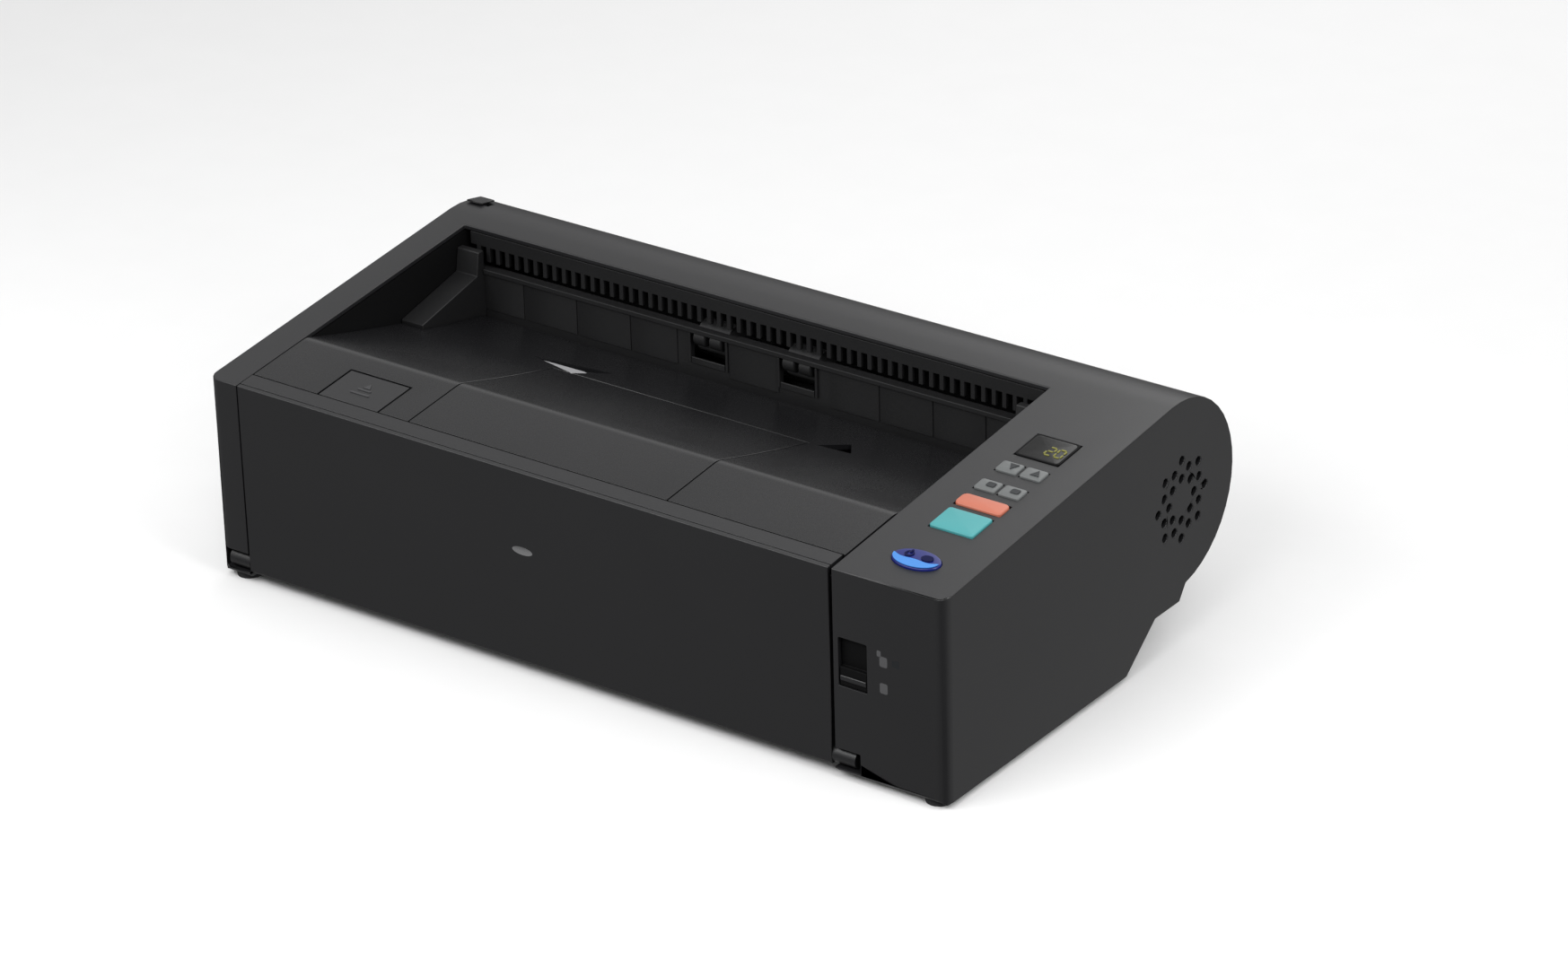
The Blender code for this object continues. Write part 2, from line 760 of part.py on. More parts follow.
def corner_cutters():
    """What is taken off outside the rounded upright front edges of the body."""
    cutters = []
    rear = FRONT_Y + FRONT_CORNER_RADIUS
    for name, edge, inward in (("left_corner", LEFT_X, 1), ("right_corner", RIGHT_X, -1)):
        centre = edge + inward * FRONT_CORNER_RADIUS
        x0, x1 = sorted((edge - inward * WALL, centre))
        corner = box(name, (x0, FRONT_Y - WALL, -WALL), (x1, rear, 2 * FRONT_HEIGHT), cutter=True)
        column = post(f"{name}_round", centre, rear, -2 * WALL, 3 * FRONT_HEIGHT, FRONT_CORNER_RADIUS)
        cutters.append(cut(corner, column))
    return cutters


def selector_slot():
    left = WELL_RIGHT + SELECTOR_SLOT_LEFT
    return box(
        "selector_slot",
        (left, FRONT_Y - WALL, SELECTOR_SLOT_BOTTOM),
        (left + SELECTOR_SLOT_WIDTH, FRONT_Y + 2 * WALL, SELECTOR_SLOT_BOTTOM + SELECTOR_SLOT_HEIGHT),
        cutter=True,
    )


def lug_notches():
    low = FOOT_HEIGHT + WALL
    length = TRAY_LUG_LENGTH + LUG_NOTCH_CLEARANCE
    notches = []
    for side, inner, outer in (
        ("left", WELL_LEFT + WALL, WELL_LEFT - length + TRAY_GAP_LEFT),
        ("right", WELL_RIGHT - WALL, WELL_RIGHT + length - TRAY_GAP_RIGHT),
    ):
        x0, x1 = sorted((inner, outer))
        notches.append(
            box(
                f"{side}_lug_notch",
                (x0, FRONT_Y - WALL, low),
                (x1, FRONT_Y + LUG_NOTCH_REAR, LUG_NOTCH_TOP),
                cutter=True,
            )
        )
    return notches


def key_layout():
    """(name, shape, x, place along the slope, size) of each key."""
    half = SMALL_KEY_SPACING / 2
    lower, upper = SMALL_KEY_PLACES
    return [
        ("power_key", "oval", PANEL_CENTRE, POWER_PLACE, POWER_SIZE),
        ("start_key", "box", PANEL_CENTRE, START_PLACE, START_SIZE),
        ("stop_key", "box", PANEL_CENTRE, STOP_PLACE, STOP_SIZE),
        ("clear_key", "box", PANEL_CENTRE - half, lower, SMALL_KEY_SIZE),
        ("bypass_key", "box", PANEL_CENTRE + half, lower, SMALL_KEY_SIZE),
        ("job_down_key", "box", PANEL_CENTRE - half, upper, SMALL_KEY_SIZE),
        ("job_up_key", "box", PANEL_CENTRE + half, upper, SMALL_KEY_SIZE),
    ]


def key_holes():
    holes = []
    for name, shape, x, along, size in key_layout():
        grown = (size[0] + 2 * KEY_GAP, size[1] + 2 * KEY_GAP)
        make = sloped_oval if shape == "oval" else sloped_box
        holes.append(make(f"{name}_hole", x, along, grown, -2 * WALL, WALL, cutter=True))
    window = (DISPLAY_SIZE[0] + 2 * GAP, DISPLAY_SIZE[1] + 2 * GAP)
    holes.append(
        sloped_box("display_hole", PANEL_CENTRE, DISPLAY_PLACE, window, -2 * WALL, WALL, cutter=True)
    )
    return holes


def vent_holes():
    holes = []
    for ring, (radius, shift) in enumerate(VENT_RINGS):
        for number in range(VENT_COUNT):
            angle = (number + shift) * 2 * np.pi / VENT_COUNT
            holes.append(
                rod(
                    f"vent_hole_{ring}_{number}",
                    RIGHT_X - 2 * WALL,
                    RIGHT_X + WALL,
                    VENT_CENTRE_Y + radius * np.cos(angle),
                    VENT_CENTRE_Z + radius * np.sin(angle),
                    VENT_HOLE_RADIUS,
                    cutter=True,
                    steps=VENT_STEPS,
                )
            )
    return holes


def socket_places():
    """(name, x, y, z, tilt) of the two sockets on the slanted underside."""
    rise = UNDERSIDE_HEIGHT - FOOT_HEIGHT
    run = UNDERSIDE_FRONT - BASE_REAR
    angle = np.arctan2(rise, run)
    y, z = BASE_REAR + run / 2, FOOT_HEIGHT + rise / 2
    half = SOCKET_SPACING / 2
    return [
        ("usb_socket", RIGHT_X - SOCKET_INSET - half, y, z, angle),
        ("dc_inlet", RIGHT_X - SOCKET_INSET + half, y, z, angle),
    ]


def socket_holes():
    holes = []
    for name, x, y, z, angle in socket_places():
        half = SOCKET_SIZE / 2 + GAP
        hole = box(f"{name}_hole", (-half, -half, -WALL), (half, half, 2 * WALL), cutter=True)
        holes.append(tilt(hole, x, y, z, angle))
    return holes


def latch_frame():
    """(x, y, z, tilt) of the rear cover latch on the curved back."""
    x = LEFT_X + LATCH_INSET + LATCH_WIDTH / 2
    y = REAR_CENTRE_Y + REAR_RADIUS * np.cos(LATCH_ANGLE)
    z = REAR_CENTRE_Z + REAR_RADIUS * np.sin(LATCH_ANGLE)
    return x, y, z, LATCH_ANGLE - np.pi / 2


def latch_slot():
    x, y, z, angle = latch_frame()
    half = LATCH_STEM / 2 + GAP
    slot = box(
        "latch_slot", (-half, -half, -2 * WALL), (half + LATCH_TRAVEL, half, WALL), cutter=True
    )
    return tilt(slot, x, y, z, angle)


def make_base_chassis(material):
    points = [
        (UNDERSIDE_REAR + WALL, UNDERSIDE_HEIGHT + 2 * WALL),
        (UNDERSIDE_REAR, UNDERSIDE_HEIGHT),
        (UNDERSIDE_FRONT, UNDERSIDE_HEIGHT),
        (BASE_REAR, FOOT_HEIGHT),
        (TRAY_REAR + WALL, FOOT_HEIGHT),
        (TRAY_REAR + WALL, RAMP_FOOT_Z - 2 * GUIDE_PLATE),
    ]
    return bent_sheet(
        "base_chassis", points, WALL, WELL_LEFT + GAP, WELL_RIGHT - GAP, material
    )


def make_side_frame(name, x0, x1, shafts, material):
    outline = inset_outline(side_outline(), WALL + GAP)
    frame = outline_solid(name, [outline], x0, x1, material)
    notch = box(
        f"{name}_notch",
        (x0 - WALL, FRONT_Y - WALL, -WALL),
        (x1 + WALL, FRONT_Y + LUG_NOTCH_REAR, LUG_NOTCH_TOP),
        cutter=True,
    )
    cut(frame, notch)
    for number, (y, z, radius) in enumerate(shafts):
        hole = rod(
            f"{name}_hole_{number}", x0 - WALL, x1 + WALL, y, z, radius + RUNNING, cutter=True
        )
        cut(frame, hole)
    return frame


def make_exit_wall(material):
    rear = EXIT_WALL_Y + EXIT_WALL_THICKNESS
    lip = EXIT_WALL_Y - LIP_REACH
    outline = [
        (EXIT_WALL_Y, EXIT_WALL_BOTTOM),
        (rear, EXIT_WALL_BOTTOM),
        (rear, LIP_TOP),
        (lip, LIP_TOP),
        (lip, LIP_TOP - LIP_HEIGHT),
        (EXIT_WALL_Y, LIP_TOP - LIP_HEIGHT),
    ]
    wall = outline_solid(
        "exit_wall", [outline], WELL_LEFT + GAP, WELL_RIGHT - GAP, material
    )
    clear = CORNER_GUIDE_WIDTH + 2 * GAP
    for side, x0, x1 in (
        ("left", WELL_LEFT, WELL_LEFT + clear),
        ("right", WELL_RIGHT - clear, WELL_RIGHT),
    ):
        low = (x0, lip - WALL, LIP_TOP - LIP_HEIGHT - GAP)
        cut(wall, box(f"{side}_lip_end", low, (x1, EXIT_WALL_Y, LIP_TOP + WALL), cutter=True))
    for number, (x0, x1) in enumerate(pair_sleeves()):
        window = box(
            f"exit_window_{number}",
            (x0 - WINDOW_MARGIN, lip, WINDOW_TOP - WINDOW_HEIGHT),
            (x1 + WINDOW_MARGIN, rear + WALL, WINDOW_TOP),
            cutter=True,
        )
        cut(wall, window)
    return wall


def make_exit_comb(material):
    """Upper exit guide: a straight bar whose lower edge is cut into teeth."""
    left = WELL_LEFT + COMB_MARGIN
    right = WELL_RIGHT - COMB_MARGIN
    top = top_height(WELL_REAR) - WALL / np.cos(TOP_SLOPE) - GAP
    count = int((right - left) / COMB_PITCH)
    start = (left + right - count * COMB_PITCH) / 2
    points = [(left, top), (left, COMB_ROOT)]
    for number in range(count):
        x = start + (number + 0.5) * COMB_PITCH - COMB_TOOTH / 2
        points += [
            (x, COMB_ROOT),
            (x, COMB_TIP),
            (x + COMB_TOOTH, COMB_TIP),
            (x + COMB_TOOTH, COMB_ROOT),
        ]
    points += [(right, COMB_ROOT), (right, top)]
    y = WELL_REAR + GAP
    return outline_solid("exit_comb", [points], y, y + COMB_THICKNESS, material, along="Y")


def tray_curve():
    """Top line of the eject tray in (y, z): flat land, rounded crest, then a hollow fall."""
    land = (LAND_FRONT, top_height(LAND_FRONT))
    turn = TOP_SLOPE - FALL_ANGLE
    reach = CREST_RADIUS * np.tan(turn / 2)
    start_y = CREST_Y - reach * np.cos(TOP_SLOPE)
    start_z = top_height(start_y)
    centre_y = start_y + CREST_RADIUS * np.sin(TOP_SLOPE)
    centre_z = start_z - CREST_RADIUS * np.cos(TOP_SLOPE)
    crest = arc(
        centre_y, centre_z, CREST_RADIUS, np.pi / 2 + TOP_SLOPE, np.pi / 2 + FALL_ANGLE, 4
    )
    y0, z0 = crest[-1]
    span = TRAY_FOOT_Y - y0
    fall = []
    for t in np.linspace(0, 1, CURVE_STEPS)[1:]:
        hermite = (
            (2 * t**3 - 3 * t**2 + 1) * z0
            + (t**3 - 2 * t**2 + t) * span * np.tan(FALL_ANGLE)
            + (3 * t**2 - 2 * t**3) * TRAY_FOOT_Z
            + (t**3 - t**2) * span * np.tan(FOOT_ANGLE)
        )
        fall.append((y0 + t * span, hermite))
    return [land] + crest + fall


def tray_height(y):
    line = np.array(tray_curve())
    return float(np.interp(y, line[:, 0], line[:, 1]))


def clip_line(points, y0, y1, drop):
    """The part of a line between y0 and y1, moved down by drop."""
    inside = [(y, z) for y, z in points if y0 < y < y1]
    ends = [(y, tray_height(y)) for y in (y0, y1)]
    return [(y, z - drop) for y, z in [ends[0]] + inside + [ends[1]]]


def make_corner_guide(name, x0, x1, material):
    """Fixed wedge that leads the sheet's side out of the exit."""
    front = CORNER_GUIDE_FRONT
    rear = EXIT_WALL_Y - GAP
    outline = [
        (front, tray_height(front) - 3 * EJECT_WALL),
        (rear, TRAY_FOOT_Z - EJECT_WALL),
        (rear, COMB_ROOT),
        (rear - LIP_REACH * 2, COMB_ROOT),
        (rear - LIP_REACH * 3, LIP_TOP - LIP_HEIGHT),
        (front, tray_height(front) + GUIDE_PLATE),
    ]
    return outline_solid(name, [outline], x0, x1, material)


def make_turn_guide(material):
    """Outer guide of the turn at the back, its thickness outside the sheet's path."""
    points = arc(
        TURN_CENTRE_Y, TURN_CENTRE_Z, TURN_RADIUS, TURN_START, TURN_END, ARC_STEPS
    )
    return bent_sheet(
        "turn_guide", points, TURN_GUIDE, WELL_LEFT + 2 * GAP, WELL_RIGHT - 2 * GAP, material
    )


def make_path_guide(material):
    drop = PATH_HALF_GAP
    points = [
        (RAMP_FOOT_Y, RAMP_FOOT_Z),
        (GUIDE_PLATE_FRONT, path_height(GUIDE_PLATE_FRONT) - drop),
        (GUIDE_PLATE_REAR, path_height(GUIDE_PLATE_REAR) - drop),
    ]
    guide = bent_sheet(
        "lower_path_guide", points, GUIDE_PLATE, WELL_LEFT + GAP, WELL_RIGHT - GAP, material
    )
    for number, (y, radius, sleeves) in enumerate(
        (
            (FEED_Y, RETARD_RADIUS, centre_sleeve()),
            (FIRST_DRIVE_Y, DRIVE_RADIUS, pair_sleeves()),
            (SECOND_DRIVE_Y, DRIVE_RADIUS, pair_sleeves()),
        )
    ):
        cut_windows(guide, f"lower_{number}", y, radius, sleeves)
    cut(guide, sensor_window("lower_sensor_window", LOWER_SENSOR_Y))
    return guide


def cut_windows(guide, name, y, radius, sleeves):
    half = window_half(radius)
    for number, (x0, x1) in enumerate(sleeves):
        window = box(
            f"{name}_window_{number}",
            (x0 - WINDOW_MARGIN, y - half, path_height(y) - 4 * GUIDE_PLATE),
            (x1 + WINDOW_MARGIN, y + half, path_height(y) + 4 * GUIDE_PLATE),
            cutter=True,
        )
        cut(guide, window)


def sensor_window(name, y):
    half = SENSOR_DEPTH / 2 + GAP * 2
    reach = SENSOR_LENGTH / 2 + GAP * 2
    z = path_height(y)
    return box(
        name,
        (WELL_CENTRE - reach, y - half, z - 4 * GUIDE_PLATE),
        (WELL_CENTRE + reach, y + half, z + 4 * GUIDE_PLATE),
        cutter=True,
    )


def make_sensor(name, y, side, material, glass):
    """An image sensor bar and its glass, below the path (side -1) or above it (side 1)."""
    z = path_height(y)
    near = PATH_HALF_GAP + SENSOR_GLASS_THICKNESS
    far = near + GAP + SENSOR_HEIGHT
    half = SENSOR_DEPTH / 2
    x0, x1 = WELL_CENTRE - SENSOR_LENGTH / 2, WELL_CENTRE + SENSOR_LENGTH / 2
    bar_z = sorted((z + side * (near + GAP), z + side * far))
    bar = box(f"{name}_image_sensor", (x0, y - half, bar_z[0]), (x1, y + half, bar_z[1]), material)
    pane_z = sorted((z + side * PATH_HALF_GAP, z + side * near))
    pane = box(
        f"{name}_sensor_glass",
        (x0 + WALL, y - half, pane_z[0]),
        (x1 - WALL, y + half, pane_z[1]),
        glass,
    )
    return bar, pane


# Feed tray


def make_feed_tray_cover(material):
    outline = [
        (FRONT_Y + GAP * 3, TRAY_BOTTOM),
        (TRAY_REAR, TRAY_BOTTOM),
        (TRAY_REAR, TRAY_PLATE_TOP),
        (FRONT_Y + WALL, TRAY_PLATE_TOP),
        (FRONT_Y + WALL, top_height(FRONT_Y + WALL)),
        (FRONT_Y, FRONT_HEIGHT),
        (FRONT_Y, TRAY_BOTTOM + GAP * 3),
    ]
    cover = outline_solid("feed_tray_cover", [outline], TRAY_LEFT, TRAY_RIGHT, material)
    pocket = box(
        "feed_tray_pocket",
        (TRAY_LEFT + WALL, FRONT_Y + WALL, TRAY_BOTTOM + TRAY_FLOOR),
        (TRAY_RIGHT - WALL, TRAY_REAR + WALL, 2 * FRONT_HEIGHT),
        cutter=True,
    )
    hubs = [
        rod(f"{side}_tray_hub", x0, x1, *TRAY_AXIS, TRAY_HUB_RADIUS, cutter=True)
        for side, x0, x1 in (
            ("left", TRAY_LEFT - TRAY_LUG_LENGTH, TRAY_LEFT + WALL / 2),
            ("right", TRAY_RIGHT - WALL / 2, TRAY_RIGHT + TRAY_LUG_LENGTH),
        )
    ]
    return join(cut(cover, pocket), *hubs)


def guide_face(side):
    """Inner face of a paper guide at rest."""
    return WELL_CENTRE + side * PAPER_WIDTH / 2


def rack_height(side):
    """Pitch line of a guide's rack: the left one above the pinion, the right one below."""
    return PINION_HEIGHT - side * GEAR_MODULE * PINION_TEETH / 2


def make_feed_tray_plate(material):
    plate = box(
        "feed_tray_plate",
        (TRAY_LEFT + WALL + GAP, TRAY_REAR - TRAY_PLATE_THICKNESS, TRAY_BOTTOM + TRAY_FLOOR + GAP),
        (TRAY_RIGHT - WALL - GAP, TRAY_REAR, TRAY_PLATE_TOP),
        material,
    )
    for side, name in ((-1, "left"), (1, "right")):
        near = guide_face(side) - side * (WALL + GAP)
        far = near - side * (STEM_WIDTH + RACK_TRAVEL + 2 * GAP)
        x0, x1 = sorted((near, far))
        z = stem_height(side)
        half = GUIDE_SLOT_HEIGHT / 2
        slot = box(
            f"{name}_guide_slot",
            (x0, TRAY_REAR - 2 * TRAY_PLATE_THICKNESS, z - half),
            (x1, TRAY_REAR + WALL, z + half),
            cutter=True,
        )
        cut(plate, slot)
    pin = rod_along_y(
        "pinion_pin",
        WELL_CENTRE,
        PINION_HEIGHT,
        TRAY_REAR - TRAY_PLATE_THICKNESS - RACK_THICKNESS,
        TRAY_REAR - TRAY_PLATE_THICKNESS / 2,
        PINION_PIN_RADIUS,
        cutter=True,
    )
    return join(plate, pin)


def rod_along_y(name, x, z, y0, y1, radius, material=None, cutter=False):
    mesh = bpy.data.meshes.new(name)
    bm = bmesh.new()
    bmesh.ops.create_cone(
        bm, cap_ends=True, segments=ROUND_STEPS, radius1=radius, radius2=radius, depth=y1 - y0
    )
    turn = Matrix.Rotation(np.pi / 2, 4, "X")
    bmesh.ops.transform(bm, matrix=turn, verts=bm.verts)
    bmesh.ops.translate(bm, vec=(x, (y0 + y1) / 2, z), verts=bm.verts)
    bm.to_mesh(mesh)
    bm.free()
    return add_object(name, mesh, material, cutter)


def stem_height(side):
    return rack_height(side) - side * RACK_HEIGHT / 2


def rack_layer():
    """(front, rear) of the racks and the pinion, between the extension and the tray plate."""
    rear = TRAY_REAR - TRAY_PLATE_THICKNESS - GAP
    return rear - RACK_THICKNESS, rear


def rack_outline(side, x0, x1):
    """A toothed bar in (x, z). The left rack's teeth point down and the right one's up."""
    pitch = np.pi * GEAR_MODULE
    line = rack_height(side)
    root = line - side * TOOTH_ROOT * GEAR_MODULE
    tip = line + side * TOOTH_TIP * GEAR_MODULE
    back = line - side * RACK_HEIGHT
    teeth = int((x1 - x0) / pitch) - 1
    # A pinion tooth points straight at each rack, so a rack gap faces the pinion's axis.
    first = WELL_CENTRE - (int((WELL_CENTRE - x0) / pitch) - 0.5) * pitch
    points = [(x0, back), (x0, root)]
    for tooth in range(teeth):
        middle = first + tooth * pitch
        if middle + pitch > x1:
            break
        for z, share in tooth_corners(root, tip):
            points.append((middle + share * pitch, z))
    return points + [(x1, root), (x1, back)]


def make_paper_guide(side, name, material):
    face = guide_face(side)
    front, rear = rack_layer()
    foot_x = sorted((face, face - side * GUIDE_FOOT_LENGTH))
    fence_x = sorted((face, face + side * GUIDE_THICKNESS))
    surface = TRAY_REAR + GAP
    guide = box(
        name,
        (fence_x[0], surface, GUIDE_BOTTOM),
        (fence_x[1], TRAY_REAR + GUIDE_REACH, GUIDE_TOP),
        material,
    )
    foot = box(
        f"{name}_foot",
        (foot_x[0] - GAP / 2, surface, GUIDE_BOTTOM),
        (foot_x[1] + GAP / 2, surface + GUIDE_FOOT_THICKNESS, GUIDE_TOP),
        cutter=True,
    )
    stem_x = sorted((face - side * (WALL + 2 * GAP), face - side * (WALL + STEM_WIDTH)))
    z = stem_height(side)
    stem = box(
        f"{name}_stem",
        (stem_x[0], front, z - STEM_HEIGHT / 2),
        (stem_x[1], surface + GUIDE_FOOT_THICKNESS / 2, z + STEM_HEIGHT / 2),
        cutter=True,
    )
    rack_x = sorted((face - side * WALL, WELL_CENTRE - side * RACK_OVERRUN))
    rack = outline_solid(
        f"{name}_rack",
        [rack_outline(side, rack_x[0], rack_x[1])],
        front + GAP / 3,
        rear - GAP / 3,
        cutter=True,
        along="Y",
    )
    return join(guide, foot, join(stem, rack))


def make_guide_pinion(material):
    front, rear = rack_layer()
    outline = gear_outline(PINION_TEETH, WELL_CENTRE, PINION_HEIGHT, np.pi / 2)
    hole = arc(
        WELL_CENTRE, PINION_HEIGHT, PINION_PIN_RADIUS + RUNNING, 0, 2 * np.pi, ROUND_STEPS
    )[:-1]
    return outline_solid("guide_pinion", [outline, hole], front, rear, material, along="Y")


def make_feed_extension(material):
    """A plate inside the feed tray whose top edge is the strip across the front of the top."""
    seam = FRONT_Y + WALL + GAP
    handle_outline = [
        (seam, top_height(seam) - STRIP_THICKNESS),
        (STRIP_REAR, top_height(STRIP_REAR) - STRIP_THICKNESS),
        (STRIP_REAR, top_height(STRIP_REAR)),
        (seam, top_height(seam)),
    ]
    handle = outline_solid("feed_extension", [handle_outline], TRAY_LEFT, TRAY_RIGHT, material)
    plate = box(
        "feed_extension_plate",
        (TRAY_LEFT + EXTENSION_SIDE_MARGIN, seam, EXTENSION_PLATE_BOTTOM),
        (
            TRAY_RIGHT - EXTENSION_SIDE_MARGIN,
            seam + EXTENSION_PLATE_THICKNESS,
            top_height(seam) - STRIP_THICKNESS / 2,
        ),
        cutter=True,
    )
    return join(handle, plate)


# Lifting unit


def make_eject_tray(material):
    curve = tray_curve()
    flap_left = FLAP_CENTRE_X - FLAP_WIDTH / 2 - FLAP_GAP
    flap_right = FLAP_CENTRE_X + FLAP_WIDTH / 2 + FLAP_GAP
    tray = bent_sheet("eject_tray", curve, EJECT_WALL, EJECT_LEFT, EJECT_RIGHT, material)
    high = 2 * FRONT_HEIGHT
    window = box(
        "flap_window",
        (flap_left, LAND_FRONT - WALL, TRAY_FOOT_Z - WALL),
        (flap_right, FLAP_REAR + FLAP_GAP, high),
        cutter=True,
    )
    corners = [
        box(
            f"{side}_corner_cut",
            (x0, CORNER_GUIDE_FRONT - CORNER_CLEARANCE, 0),
            (x1, EXIT_WALL_Y, high),
            cutter=True,
        )
        for side, x0, x1 in (
            ("left", WELL_LEFT - WALL, WELL_LEFT + CORNER_GUIDE_WIDTH + 2 * EJECT_GAP),
            ("right", WELL_RIGHT - CORNER_GUIDE_WIDTH - 2 * EJECT_GAP, WELL_RIGHT + WALL),
        )
    ]
    half = BUTTON_WIDTH / 2 + BUTTON_GAP
    notch = box(
        "button_notch",
        (BUTTON_CENTRE_X - half, LAND_FRONT - WALL, TRAY_FOOT_Z),
        (BUTTON_CENTRE_X + half, LAND_FRONT + BUTTON_DEPTH + BUTTON_GAP, high),
        cutter=True,
    )
    cut(tray, window, *corners, notch)
    floor = bent_sheet(
        "flap_floor",
        clip_line(curve, LAND_FRONT, FLAP_REAR + 3 * WALL, EJECT_WALL - TRAY_PLAY),
        FLAP_FLOOR,
        flap_left - WALL,
        flap_right + WALL,
        cutter=True,
    )
    return join(tray, floor)


def make_eject_flap(material):
    left = FLAP_CENTRE_X - FLAP_WIDTH / 2
    return bent_sheet(
        "eject_flap",
        clip_line(tray_curve(), LAND_FRONT, FLAP_REAR, 0),
        FLAP_THICKNESS,
        left,
        left + FLAP_WIDTH,
        material,
    )


def make_open_button(material):
    along = (LAND_FRONT - FRONT_Y) / np.cos(TOP_SLOPE) + BUTTON_DEPTH / 2
    size = (BUTTON_WIDTH, BUTTON_DEPTH)
    return sloped_box("open_button", BUTTON_CENTRE_X, along, size, -EJECT_WALL, 0, material)


def lift_front(z):
    """y of the lifting unit's front at height z: an arc about the lifting axis."""
    reach = LIFT_AXIS_Y - LIFT_FRONT_Y
    return LIFT_AXIS_Y - np.sqrt(reach**2 - (z - LIFT_AXIS_Z) ** 2)


def make_upper_carrier(material):
    """Front wall and upper paper guide of the lifting unit, with the rings of its hinge."""
    rise = PATH_HALF_GAP
    mouth_z = path_height(PICKUP_Y) + MOUTH_RISE
    mouth_y = lift_front(mouth_z)
    points = [
        (LIFT_AXIS_Y, path_height(LIFT_AXIS_Y) + rise),
        (mouth_y + 4 * GUIDE_PLATE, path_height(mouth_y) + rise),
    ]
    for z in np.linspace(mouth_z, LIFT_FRONT_TOP, CARRIER_STEPS):
        points.append((lift_front(z), z))
    carrier = bent_sheet(
        "upper_carrier", points, GUIDE_PLATE, EJECT_LEFT, EJECT_RIGHT, material
    )
    for number, (y, radius, _, sleeves) in enumerate(upper_rollers()):
        cut_windows(carrier, f"upper_{number}", y, radius, sleeves)
    cut(carrier, sensor_window("upper_sensor_window", UPPER_SENSOR_Y))
    for side, x in (
        ("left", EJECT_LEFT + LUG_INSET),
        ("right", EJECT_RIGHT - LUG_INSET - LUG_THICKNESS),
    ):
        lug = outline_solid(
            f"{side}_lift_lug", lift_lug_outlines(), x, x + LUG_THICKNESS, cutter=True
        )
        join(carrier, lug)
    return carrier


def lift_lug_outlines():
    """A side plate from the front rollers back to the lifting axis, with its bores."""
    rise = PATH_HALF_GAP + GUIDE_PLATE / 2
    ring = arc(LIFT_AXIS_Y, LIFT_AXIS_Z, LIFT_RING_RADIUS, 0, np.pi / 2, LUG_STEPS)
    plate = [
        (LUG_FRONT, path_height(LUG_FRONT) + rise + GUIDE_PLATE),
        (LUG_FRONT + 4 * GUIDE_PLATE, path_height(LUG_FRONT) + rise),
        (LIFT_AXIS_Y, path_height(LIFT_AXIS_Y) + rise),
    ]
    crown = [
        (LIFT_AXIS_Y - 2 * LIFT_RING_RADIUS, LIFT_AXIS_Z + LIFT_RING_RADIUS),
        (LIFT_AXIS_Y - LUG_REACH, LUG_TOP),
        (LUG_FRONT, LUG_TOP),
    ]
    bores = [(LIFT_AXIS_Y, LIFT_AXIS_Z, LIFT_ROD_RADIUS)]
    bores += [(y, above_path(y, radius), shaft) for y, radius, shaft, _ in upper_rollers()]
    holes = [
        arc(y, z, radius + RUNNING, 0, 2 * np.pi, ROUND_STEPS)[:-1] for y, z, radius in bores
    ]
    return [plate + ring + crown] + holes


def upper_rollers():
    """(y, radius, shaft radius, sleeves) of the rollers that the lifting unit carries."""
    return [
        (PICKUP_Y, PICKUP_RADIUS, SHAFT_RADIUS, centre_sleeve()),
        (FEED_Y, FEED_RADIUS, SHAFT_RADIUS, centre_sleeve()),
        (FIRST_DRIVE_Y, PINCH_RADIUS, PINCH_SHAFT_RADIUS, pair_sleeves()),
        (SECOND_DRIVE_Y, PINCH_RADIUS, PINCH_SHAFT_RADIUS, pair_sleeves()),
    ]


def make_upper_roller(name, number, material):
    y, radius, shaft, sleeves = upper_rollers()[number]
    left = EJECT_LEFT + LUG_INSET - WALL
    right = EJECT_RIGHT - LUG_INSET + WALL
    stations = sleeve_stations(sleeves, left, right, shaft, radius)
    return turned(name, stations, y, above_path(y, radius), material)


# Rear cover


def make_rear_cover(material):
    start = DOOR_SEAM_ANGLE - DOOR_GAP / REAR_RADIUS
    points = arc(REAR_CENTRE_Y, REAR_CENTRE_Z, REAR_RADIUS, start, DOOR_AXIS_ANGLE, ARC_STEPS)
    x0, x1 = WELL_LEFT + DOOR_GAP, WELL_RIGHT - DOOR_GAP
    cover = bent_sheet("rear_cover", points, WALL, x0, x1, material)
    y, z = door_axis()
    hub = rod("rear_cover_hub", x0, x1, y, z, DOOR_HUB_RADIUS, cutter=True)
    return join(cover, hub)


def door_axis():
    radius = REAR_RADIUS - DOOR_HUB_RADIUS - GAP / 2
    y = REAR_CENTRE_Y + radius * np.cos(DOOR_AXIS_ANGLE)
    z = REAR_CENTRE_Z + radius * np.sin(DOOR_AXIS_ANGLE)
    return y, z


def make_rear_latch(material):
    x, y, z, angle = latch_frame()
    half_x, half_y = LATCH_WIDTH / 2, LATCH_LENGTH / 2
    latch = box(
        "rear_cover_latch",
        (-half_x, -half_y, GAP),
        (half_x, half_y, LATCH_RISE),
        material,
    )
    stem = box(
        "latch_stem",
        (-LATCH_STEM / 2, -LATCH_STEM / 2, -2 * WALL),
        (LATCH_STEM / 2, LATCH_STEM / 2, LATCH_RISE / 2),
        cutter=True,
    )
    tilt(stem, x, y, z, angle)
    return join(tilt(latch, x, y, z, angle), stem)


# Panel, selector, fan, boards, sockets, feet


def make_key(name, shape, x, along, size, material):
    make = sloped_oval if shape == "oval" else sloped_box
    return make(name, x, along, size, KEY_PROUD - KEY_DEPTH, KEY_PROUD, material)


def make_display(material):
    return sloped_box(
        "display_window", PANEL_CENTRE, DISPLAY_PLACE, DISPLAY_SIZE, -DISPLAY_THICKNESS, GAP, material
    )


